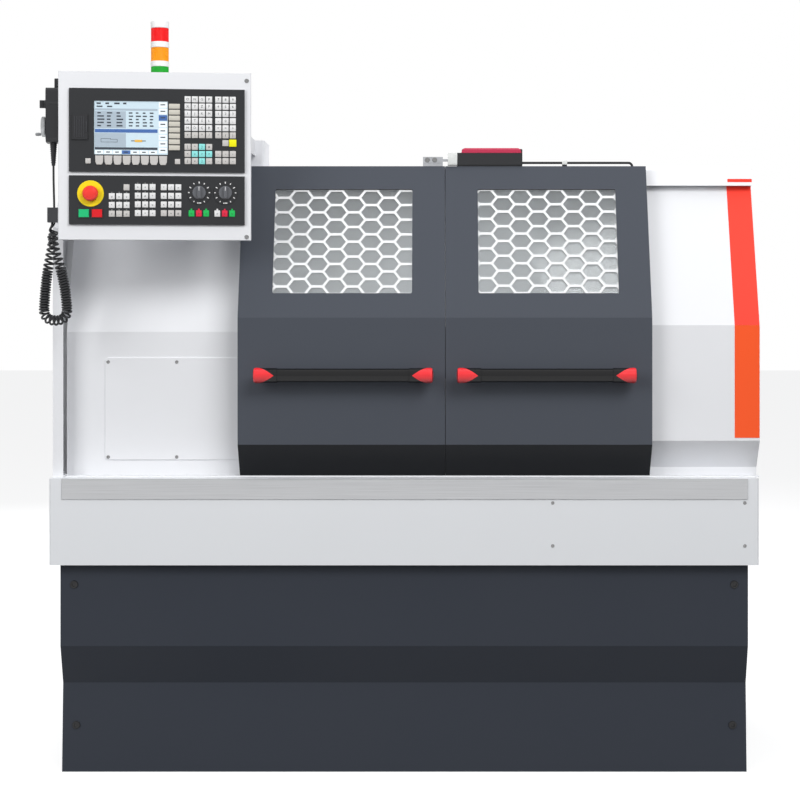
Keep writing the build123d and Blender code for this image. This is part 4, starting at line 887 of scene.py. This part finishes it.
def add_screen():
    """The lit page and the frame round it."""
    chance = random.Random(7)
    bm = bmesh.new()
    for area in AREAS:
        add_tile(bm, *area)
    add_words(bm, chance, 0.02, 0.5, 0.03, 0.03, 4)
    add_words(bm, chance, 0.02, 0.3, 0.09, 0.025, 2)
    for row in range(TABLE_ROWS):
        top = 0.21 + 0.06 * row
        add_words(bm, chance, 0.03, 0.42, top, 0.026, 3)
        add_words(bm, chance, 0.46, 0.84, top, 0.024, 4)
    for area in WORKPIECE:
        add_tile(bm, *area)
    for index in range(7):
        left = 0.012 + 0.1215 * index
        add_tile(bm, left, left + 0.112, 0.922, 0.99, 1, BLUE if index == 3 else LABEL)
        add_tile(bm, left + 0.03, left + 0.08, 0.945, 0.965, 4, INK)
    for index in range(8):
        top = 0.012 + 0.122 * index
        add_tile(bm, 0.876, 0.992, top, top + 0.105, 1, BLUE if index == 2 else LABEL)
        add_tile(bm, 0.90, 0.965, top + 0.04, top + 0.06, 4, INK)
    parts = ("page", "field", "bar", "ink", "label", "amber")
    add_piece("screen_picture", bm, ["screen_" + part for part in parts], "box", smooth=0)
    bm = bmesh.new()
    add_rim(bm, SCREEN_LEFT, SCREEN_RIGHT, SCREEN_FOOT, SCREEN_TOP, 0.0018, -0.0066, -0.0052)
    add_piece("screen_frame", bm, "black_moulding", "box")


def add_machine_keys():
    """The machine panel's key caps, each with its small lamp, and the coloured keys below the dials."""
    bm = bmesh.new()
    marks = bmesh.new()
    light, grey, lamp = 0, 1, 4
    cap = (0.0140, 0.0145)
    for number, block in enumerate(MODE_BLOCKS):
        rows = key_places(block)
        for row, places in enumerate(rows):
            for column, (u, z) in enumerate(places):
                last = row == len(rows) - 1 and number != 1
                add_key(bm, (u, z), cap, grey if last else light)
                sign = MODE_SIGNS[(3 * row + column + 5 * number) % len(MODE_SIGNS)]
                add_mark(marks, sign, (u, z - 0.001), 0.0075)
                if number < 2:
                    add_key(bm, (u, z + 0.0088), (0.0028, 0.0034), lamp)
    add_key(bm, (-0.0669, 1.420), cap, grey)
    for u, colour in DIAL_KEYS:
        add_key(bm, (u, 1.3590), (0.0136, 0.0150), colour)
        add_key(bm, (u, 1.3682), (0.0042, 0.0044), colour)
        add_mark(marks, "o", (u, 1.3588), 0.0075)
    finishes = ["light_key", "grey_key", "green_key", "red_key", "key_lamp"]
    add_piece("machine_keys", bm, finishes, "box")
    add_piece("machine_key_marks", marks, "key_print", "box", smooth=0)


DIAL_PLACES = ((0.104, 1.4085), (0.166, 1.4085))
TICK_OUT = 0.0262
KNURLS = 24


def add_knurls(bm, base, count, low, high, bevel):
    """Small ridges all round a knob."""
    for index in range(count):
        place = base @ Matrix.Rotation(2 * math.pi * index / count, 4, "Z")
        add_block(bm, low, high, bevel, place, segments=1)


def add_dials():
    """The two override dials: a black disc with white ticks, a grey knob's pointer and a sign below it."""
    discs = bmesh.new()
    ticks = bmesh.new()
    for u, z in DIAL_PLACES:
        base = on_box(u, z)
        add_ring(discs, 0.0040, 0.0282, 0.0, 0.0019, base, bevel=0.0005, segments=56)
        for index in range(11):
            place = base @ Matrix.Rotation(-math.radians(-150 + 30 * index), 4, "Z")
            long = 0.0046 if index % 2 else 0.0036
            low, high = (-0.0011, TICK_OUT - long, 0.0017), (0.0011, TICK_OUT, 0.00215)
            add_block(ticks, low, high, bevel=0.0001, matrix=place, segments=1)
        for step in (-1, 0, 1):
            low = (-0.0012 + 0.0034 * step, -TICK_OUT, 0.0017)
            high = (0.0012 + 0.0034 * step, -0.0232, 0.00215)
            add_block(ticks, low, high, bevel=0.0001, matrix=base, segments=1)
    add_piece("dial_discs", discs, "dial_disc", "box")
    add_piece("dial_ticks", ticks, "white_mark", "box", smooth=0)
    for (u, z), body, name in zip(DIAL_PLACES, ("feed_knob", "spindle_knob"), ("feed", "spindle")):
        bm = bmesh.new()
        base = on_box(u, z)
        profile = [(0.0030, 0.0014), (0.0156, 0.0016), (0.0156, 0.0085), (0.0148, 0.0092), (0.0, 0.0093)]
        add_turned(bm, profile, base, segments=48)
        add_knurls(bm, base, KNURLS, (-0.0007, 0.0150, 0.0022), (0.0007, 0.0161, 0.0082), 0.0003)
        add_block(bm, (-0.0042, -0.0140, 0.0090), (0.0042, 0.0140, 0.0172), 0.0014, base)
        add_block(bm, (-0.0006, 0.0040, 0.0170), (0.0006, 0.0134, 0.01745), 0.0001, base, 1)
        knob = add_piece(name + "_dial_knob", bm, ["dial_knob_grey", "white_mark"], body)
        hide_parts(name + "_dial")


STOP_PLACE = (-0.1513, 1.4047)
STOP_PROFILE = [
    (0.0095, -0.0060), (0.0095, 0.0060), (0.0150, 0.0068), (0.0182, 0.0078), (0.0187, 0.0095),
    (0.0185, 0.0130), (0.0172, 0.0163), (0.0150, 0.0181), (0.0128, 0.0189), (0.0122, 0.0183),
    (0.0116, 0.0187), (0.0080, 0.0195), (0.0040, 0.0199), (0.0, 0.0200),
]
BUTTON_PLACES = ((-0.167, 1.3578), (-0.136, 1.3578))
BUTTON_HALF = (0.0122, 0.0097)


def add_buttons():
    """The emergency stop with its yellow disc, and the bezels of the start and stop buttons."""
    bm = bmesh.new()
    add_ring(bm, 0.0112, 0.0312, 0.0, 0.0021, on_box(*STOP_PLACE), bevel=0.0007, segments=64)
    add_piece("stop_disc", bm, "yellow_disc", "box")
    bm = bmesh.new()
    add_turned(bm, STOP_PROFILE, on_box(*STOP_PLACE), segments=56)
    mushroom = add_piece("stop_mushroom", bm, "red_button", "estop", smooth=50)
    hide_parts("estop_button")
    bm = bmesh.new()
    half_u, half_z = BUTTON_HALF
    for u, z in BUTTON_PLACES:
        add_rim(bm, u - half_u, u + half_u, z - half_z, z + half_z, 0.0022, -0.0076, -0.0058)
    add_piece("button_bezels", bm, "button_bezel", "box")


def add_port_flap_ribs():
    """Gripping ribs and a finger lip on the port's flap."""
    bm = bmesh.new()
    for index in range(5):
        u = -0.1880 + 0.0052 * index
        add_block(bm, (u - 0.0011, -0.0104, 1.5375), (u + 0.0011, -0.0090, 1.5875), 0.0004, BOX_FRAME)
    add_block(bm, (-0.1622, -0.0116, 1.5500), (-0.1594, -0.0090, 1.5750), 0.0008, BOX_FRAME)
    add_piece("port_flap_ribs", bm, "port_flap_grey", "port_flap")


# Pendant: its wheel with a crank, the axis knob, the strain relief's ribs and four screws
PENDANT_LEFT = -0.2585
PENDANT_MIDDLE = 0.049
PENDANT_LOW, PENDANT_HIGH = 1.532, 1.654
WHEEL_HEIGHT = 1.567
KNOB_HEIGHT = 1.621
WHEEL_PROFILE = [
    (0.0060, 0.0005), (0.0205, 0.0008), (0.0232, 0.0022), (0.0240, 0.0050), (0.0240, 0.0096),
    (0.0228, 0.0122), (0.0200, 0.0130), (0.0178, 0.0118), (0.0120, 0.0112), (0.0, 0.0112),
]
CRANK_PROFILE = [
    (0.0020, 0.0110), (0.0020, 0.0140), (0.0034, 0.0146), (0.0040, 0.0200), (0.0036, 0.0256),
    (0.0022, 0.0270), (0.0, 0.0272),
]
KNOB_PROFILE = [(0.0040, 0.0004), (0.0100, 0.0006), (0.0100, 0.0052), (0.0092, 0.0062), (0.0, 0.0064)]
SMALL_SCREW = [(0.0021, -0.0004), (0.0021, 0.0006), (0.0015, 0.0010), (0.0, 0.0010)]
RELIEF_RIBS = 9
RELIEF_TOP, RELIEF_RADIUS = 1.528, 0.0081
RELIEF_TAPER = math.tan(math.radians(4))


def on_pendant(height, across=PENDANT_MIDDLE):
    """A frame on the pendant's face, which looks to the box's left."""
    return on_box(PENDANT_LEFT, height, across, (-1, 0, 0))


def add_pendant_details():
    """The hand wheel, the axis knob, the ribbed strain relief and the screws."""
    bm = bmesh.new()
    base = on_pendant(WHEEL_HEIGHT)
    add_turned(bm, WHEEL_PROFILE, base, segments=60)
    add_knurls(bm, base, 50, (-0.0005, 0.0232, 0.0040), (0.0005, 0.0243, 0.0104), 0.0002)
    add_turned(bm, CRANK_PROFILE, base @ Matrix.Translation((0, -0.018, 0)), segments=28, material=1)
    wheel = add_piece("pendant_hand_wheel", bm, ["silver_wheel", "grey_wheel"], "pulse_wheel")
    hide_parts("pendant_wheel")
    bm = bmesh.new()
    base = on_pendant(KNOB_HEIGHT)
    add_turned(bm, KNOB_PROFILE, base)
    add_block(bm, (-0.0035, -0.0094, 0.0060), (0.0035, 0.0094, 0.0170), 0.0012, base)
    add_block(bm, (-0.0005, 0.0030, 0.0168), (0.0005, 0.0090, 0.01725), 0.0001, base, 1)
    knob = add_piece("axis_selector", bm, ["black_moulding", "white_mark"], "axis_knob")
    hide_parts("pendant_knob")
    bm = bmesh.new()
    for index in range(RELIEF_RIBS):
        height = 1.5235 - 0.0052 * index
        radius = RELIEF_RADIUS - (RELIEF_TOP - height) * RELIEF_TAPER + 0.0008
        place = Matrix.Translation((CORD_EXIT[0], CORD_EXIT[1], height))
        add_ring(bm, radius - 0.0016, radius, -0.0013, 0.0013, place, bevel=0.0005, segments=28)
    add_piece("strain_relief_ribs", bm, "black_moulding", "box")
    heights = (PENDANT_LOW + 0.006, PENDANT_HIGH - 0.006)
    frames = [on_pendant(height, across) for height in heights for across in (0.024, 0.074)]
    add_screws("pendant_screws", frames, SMALL_SCREW, 20, "zinc_screw", "box")


# Bar handles: a black bar on two posts, with a red cover at each end that is cut to a point
HANDLE_CAP = 0.060
CAP_ROWS = 18
CAP_COLUMNS = 20
# The cover's round tip and its length along the bar
CAP_TIP, CAP_LONG = 0.0022, 0.049
CAP_SKIN = 0.0008
# Shares of the rows from the tip: where it ends, where it is full, and where the cover narrows to half round
TIP_ENDS, TIP_FULL, NARROWS, HALF_ROUND = 0.1, 0.16, 0.12, 0.3
POST_IN = 0.026


def cap_reach(share):
    """How far round the bar the cover goes each way, by the share of the way from the tip to the point."""
    if share < HALF_ROUND:
        return math.pi * (0.98 - 0.48 * max(0, share - NARROWS) / 0.18)
    return math.asin(max(0.02, 1 - ((share - HALF_ROUND) / 0.7) ** 1.6))


def add_cap_shell(bm, tip, inward, radius):
    """The red cover of a handle's end: whole at the tip, and cut away by a slanting plane towards a point."""
    skins = []
    for thin, behind in ((0.0, 0.0), (CAP_SKIN, 0.0009)):
        rows = []
        for row in range(CAP_ROWS + 1):
            share = row / CAP_ROWS
            run = CAP_TIP * min(1, share / TIP_ENDS) ** 2 + CAP_LONG * max(0, share - TIP_ENDS) / 0.9
            swell = math.sin(math.pi / 2 * min(1, share / TIP_FULL)) ** 0.8
            across = max(max(radius * swell, 0.0006) - thin, 0.0003)
            x = tip.x + inward * (run + (behind if share < TIP_ENDS else 0))
            columns = []
            for column in range(CAP_COLUMNS + 1):
                angle = cap_reach(share) * (2 * column / CAP_COLUMNS - 1)
                place = (x, tip.y - across * math.cos(angle), tip.z + across * math.sin(angle))
                columns.append(bm.verts.new(place))
            rows.append(columns)
        skins.append(rows)
    outer, inner = skins
    made = []
    for rows in skins:
        for low, high in zip(rows, rows[1:]):
            for column in range(CAP_COLUMNS):
                made.append(bm.faces.new((low[column], low[column + 1], high[column + 1], high[column])))
    rim = [(row, 0) for row in range(CAP_ROWS)]
    rim += [(CAP_ROWS, column) for column in range(CAP_COLUMNS)]
    rim += [(row, CAP_COLUMNS) for row in range(CAP_ROWS, 0, -1)]
    rim += [(0, column) for column in range(CAP_COLUMNS, 0, -1)]
    for (row, column), (next_row, next_column) in zip(rim, rim[1:] + rim[:1]):
        outer_side = (outer[row][column], outer[next_row][next_column])
        inner_side = (inner[next_row][next_column], inner[row][column])
        made.append(bm.faces.new((*outer_side, *inner_side)))
    for face in made:
        face.material_index = 1


def add_handle(node, door, body):
    """One door's handle, in the place of its CAD bar."""
    low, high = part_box(node)
    radius = (high.z - low.z) / 2
    y = low.y + radius
    z = (low.z + high.z) / 2
    along = Matrix.Translation((0, y, z)) @ Matrix.Rotation(math.radians(90), 4, "Y")
    bm = bmesh.new()
    start, end = low.x + 0.0008, high.x - 0.0008
    bar_radius = radius - 0.0018
    core = radius - 0.0007
    add_turned(bm, [(bar_radius, start + HANDLE_CAP - 0.001), (bar_radius, end - HANDLE_CAP + 0.001)], along)
    for cap_x, inward in ((start, 1), (end, -1)):
        profile = [
            (0.0, 0.0006), (core - 0.005, 0.0010), (core - 0.001, 0.0032), (core, 0.007),
            (core, HANDLE_CAP - 0.002), (bar_radius - 0.0012, HANDLE_CAP),
        ]
        add_turned(bm, [(across, cap_x + inward * run) for across, run in profile], along)
        add_cap_shell(bm, Vector((cap_x, y, z)), inward, radius)
        post_x = cap_x + inward * POST_IN
        seat, _ = front_seat(door, post_x, z)
        reach = seat.y - y
        post = [(0.0115, 0.0), (0.0115, 0.0016), (0.0092, 0.0030), (0.0080, reach * 0.6), (0.0095, reach)]
        add_turned(bm, post, facing((post_x, seat.y, z), FORWARD), segments=32, material=1)
    handle = add_piece(node + "_bar", bm, ["gloss_black_bar", "red_end_cap"], body, smooth=40)
    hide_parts(node)


# Screws and bolts, each seated on the sheet that carries it
TRAY_SCREWS = [(0.360, 0.662), (0.825, 0.662), (0.360, 0.558), (0.825, 0.558)]
BASE_BOLTS = [(-0.8035, 0.461), (0.8035, 0.461), (-0.8035, 0.113), (0.8035, 0.113)]
HATCH_SCREWS = [(x, z) for x in (-0.730, -0.561, -0.391) for z in (0.767, 1.001)]
SHEET_SCREW = (0.0042, 0.0018)
LIFTING_BOLT = (0.0098, 0.0040)
# A domed head with a socket: shares of its radius and of its height
DOMED_HEAD = [(1, 0.25), (0.9, 0.7), (0.62, 1), (0.56, 1), (0.5, 0.45), (0, 0.45)]
BOX_SCREW = [
    (0.0050, -0.0006), (0.0052, 0.0008), (0.0042, 0.0022), (0.0028, 0.0026), (0.0026, 0.0012),
    (0.0, 0.0012),
]
KEY_SCREW = [
    (0.0060, -0.0003), (0.0062, 0.0010), (0.0052, 0.0022), (0.0030, 0.0024), (0.0026, 0.0008),
    (0.0, 0.0008),
]


def add_screws(name, frames, profile, segments, finish, body):
    """One piece of equal screw heads."""
    bm = bmesh.new()
    for here in frames:
        add_turned(bm, profile, here, segments=segments)
    add_piece(name, bm, finish, body)


def seats_on(node, places):
    """Frames on a CAD node's front."""
    return [facing(*front_seat(node, x, z)) for x, z in places]


def domed_head(radius, rise):
    """The profile of a domed head of a size."""
    return [(radius * 0.98, -0.0006)] + [(radius * across, rise * up) for across, up in DOMED_HEAD]


def add_all_fixings():
    """The visible screws and bolts of the sheets and the control box."""
    screw, bolt = domed_head(*SHEET_SCREW), domed_head(*LIFTING_BOLT)
    add_screws("tray_screws", seats_on("chip_tray", TRAY_SCREWS), screw, 28, "screw_steel", "root")
    bolts = seats_on("base_front_panel", BASE_BOLTS)
    add_screws("base_bolts", bolts, bolt, 28, "black_bolt", "root")
    add_screws("hatch_screws", seats_on("access_panel", HATCH_SCREWS), screw, 28, "screw_steel", "root")
    frames = [on_box(0.2165, z, 0.0) for z in (1.677, 1.3035)]
    add_screws("box_screws", frames, BOX_SCREW, 28, "screw_steel", "box")


# The painted stripe on the right cover's corner: one film, drawn redder on the slope and more orange on the
# upright, the difference being painted light for the change of light at the fold
STRIPE_LEFT, STRIPE_RIGHT = 0.8065, 0.8672
STRIPE_LOW, STRIPE_FOLD, STRIPE_TOP = 0.817, 1.092, 1.457
STRIPE_END_LOW = 1.4405
FILM = 0.0006


def add_stripe():
    """A thin film that follows the cover's front, and its end on the rail above."""
    middle = (STRIPE_LEFT + STRIPE_RIGHT) / 2
    # Painted light: the upright and the slope take two tones of the one film, split at the fold
    for name, low, high, finish in (
        ("orange_stripe", STRIPE_LOW, STRIPE_FOLD, "orange_stripe_paint"),
        ("red_stripe", STRIPE_FOLD, STRIPE_TOP, "red_stripe_paint"),
    ):
        bm = bmesh.new()
        rows = []
        for z, near, far in ((low, low + 0.002, high - 0.01), (high, high - 0.002, low + 0.01)):
            seat, normal = front_seat("right_cover", middle, near)
            again, _ = front_seat("right_cover", middle, far)
            y = seat.y + (again.y - seat.y) / (again.z - seat.z) * (z - seat.z)
            front = Vector((0, y, z)) + normal * FILM
            corners = [(STRIPE_LEFT, *front.yz), (STRIPE_RIGHT, *front.yz)]
            corners += [(STRIPE_RIGHT, y + 0.0004, z), (STRIPE_LEFT, y + 0.0004, z)]
            rows.append([bm.verts.new(corner) for corner in corners])
        add_skin(bm, rows)
        add_piece(name, bm, finish, "root", smooth=0)
    bm = bmesh.new()
    seat, _ = front_seat("door_rails", middle, STRIPE_TOP - 0.008)
    low = (STRIPE_LEFT, seat.y - 0.00012, STRIPE_END_LOW)
    high = (STRIPE_RIGHT, seat.y + 0.0002, STRIPE_TOP)
    add_block(bm, low, high, bevel=0.0001, segments=1)
    add_piece("stripe_end", bm, "red_stripe_paint", "root", smooth=0)


def add_loft(bm, sections):
    """A closed skin over level rectangles: left, right, front, back and height of each."""
    rings = []
    for left, right, front, back, z in sections:
        corners = ((left, front, z), (right, front, z), (right, back, z), (left, back, z))
        rings.append([bm.verts.new(corner) for corner in corners])
    add_skin(bm, rings)


# Rubber blade that fills the narrow gap between the closed doors
BLADE_HEIGHTS = (0.7275, 0.803, 1.1105, 1.4845)


def add_door_blade():
    """A blade on the left door's edge that follows the doors' folded profile."""
    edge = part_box("left_door")[1].x
    sections = []
    for z in BLADE_HEIGHTS:
        seat, _ = front_seat("left_door", edge - 0.004, z)
        sections.append((edge + 0.0003, edge + 0.0012, seat.y + 0.0022, seat.y + 0.0185, z))
    bm = bmesh.new()
    add_loft(bm, sections)
    add_piece("door_edge_blade", bm, "belt_rubber", LEFT_BODY, smooth=0)


# Tower light: three ribbed lenses, white rings and a white cap
TOWER_PLACE = (-0.676, 0.080)
LENS_LOWS = (1.755, 1.807, 1.860)
LENS_TALL = 0.037
LENS_RIBS = 48
LENS_OUT, LENS_IN = 0.0240, 0.0231
LENS_HOLLOW = 0.86
RINGS_LOW = 1.720
TOWER_TOP = 1.921


def add_tower():
    """The tower's lenses and rings round its stem."""
    here = Matrix.Translation((*TOWER_PLACE, 0))
    outline = []
    for step in range(2 * LENS_RIBS):
        angle = math.pi * step / LENS_RIBS
        radius = LENS_OUT if step % 2 else LENS_IN
        outline.append((radius * math.cos(angle), radius * math.sin(angle)))
    for name, low in zip(("green", "amber", "red"), LENS_LOWS):
        bm = bmesh.new()
        foot, top = low + 0.0002, low + LENS_TALL - 0.0002
        rings = []
        for size, height in ((1, foot), (1, top), (LENS_HOLLOW, top), (LENS_HOLLOW, foot)):
            rings.append([bm.verts.new(here @ Vector((size * x, size * y, height))) for x, y in outline])
        for ring, following in zip(rings, rings[1:] + rings[:1]):
            add_band(bm, ring, following)
        lens = add_piece(name + "_lens", bm, name + "_lens", "root", smooth=0)
        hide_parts("tower_lenses")
    bm = bmesh.new()
    lows = [RINGS_LOW] + [low + LENS_TALL for low in LENS_LOWS[:-1]]
    for low, high in zip(lows, LENS_LOWS):
        add_ring(bm, 0.0105, 0.0250, low + 0.0001, high - 0.0001, here, bevel=0.0012, segments=56)
    cap = LENS_LOWS[-1] + LENS_TALL + 0.0001
    profile = [(0.0105, cap), (0.0238, cap), (0.0250, cap + 0.0012)]
    for radius, down in ((0.0250, 0.0070), (0.0238, 0.0036), (0.0200, 0.0012), (0.0110, 0.0002), (0.0, 0)):
        profile.append((radius, TOWER_TOP - down))
    add_turned(bm, profile, here, segments=56)
    add_turned(bm, [(0.0109, 1.4996), (0.0109, 1.7210)], here)
    foot = [(0.0110, 1.4902), (0.0240, 1.4902), (0.0242, 1.4960), (0.0228, 1.5000), (0.0110, 1.5004)]
    add_turned(bm, foot, here, segments=48)
    add_turned(bm, [(0.0106, 1.7300), (0.0106, cap + 0.002)], here)
    tower = add_piece("tower_rings", bm, "white_ring", "root", smooth=40)
    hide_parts("tower_stem")


# Interlock: a crimson cover on the black switch, its pale head, the key's screws and the lead's tie
HEAD_SCREW = [(0.0016, -0.0002), (0.0016, 0.0005), (0.0010, 0.0008), (0.0, 0.0008)]
TIE_LEFT, TIE_RIGHT = 0.3925, 0.4055


def add_interlock():
    """The visible parts of the door switch and its key."""
    low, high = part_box("interlock_switch")
    bm = bmesh.new()
    back = high.y - 0.004
    add_loft(bm, [
        (0.1405, 0.2905, low.y - 0.0012, back, high.z - 0.0105),
        (0.1425, 0.2885, low.y - 0.0010, back, high.z - 0.0020),
        (0.1480, 0.2830, low.y + 0.0034, back, high.z + 0.0022),
    ])
    bmesh.ops.bevel(bm, geom=list(bm.edges), offset=0.0008, segments=2, affect="EDGES")
    add_piece("interlock_cover", bm, "interlock_cover_red", RIGHT_BODY)
    bm = bmesh.new()
    front = low.y - 0.0012
    add_block(bm, (0.1068, front, high.z - 0.0400), (0.1305, low.y + 0.0006, high.z - 0.0102), 0.0006)
    for z in (high.z - 0.0165, high.z - 0.0355):
        add_turned(bm, HEAD_SCREW, facing((0.1250, front, z), FORWARD), segments=18)
    add_piece("interlock_head", bm, "pale_latch", RIGHT_BODY)
    seats = seats_on("interlock_key", ((0.0560, 1.5035), (0.0740, 1.5035)))
    add_screws("interlock_key_screws", seats, KEY_SCREW, 30, "screw_steel", LEFT_BODY)
    bm = bmesh.new()
    low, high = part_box("interlock_cable")
    for foot, back, top in ((-0.0090, low.y, 0.0005), (-0.0002, high.y, 0.0008)):
        corner = (TIE_RIGHT, back + 0.0006, high.z + top)
        add_block(bm, (TIE_LEFT, low.y - 0.0006, high.z + foot), corner, 0.0004)
    add_piece("lead_tie", bm, "pale_latch", RIGHT_BODY)


add_camera()
add_pendant_cord()
add_studio()
finish_nodes()
add_keyboard()
add_soft_keys()
add_screen()
add_machine_keys()
add_dials()
add_buttons()
add_port_flap_ribs()
add_pendant_details()
add_handle("left_handle", "left_door", LEFT_BODY)
add_handle("right_handle", "right_door", RIGHT_BODY)
add_all_fixings()
add_stripe()
add_door_blade()
add_tower()
add_interlock()
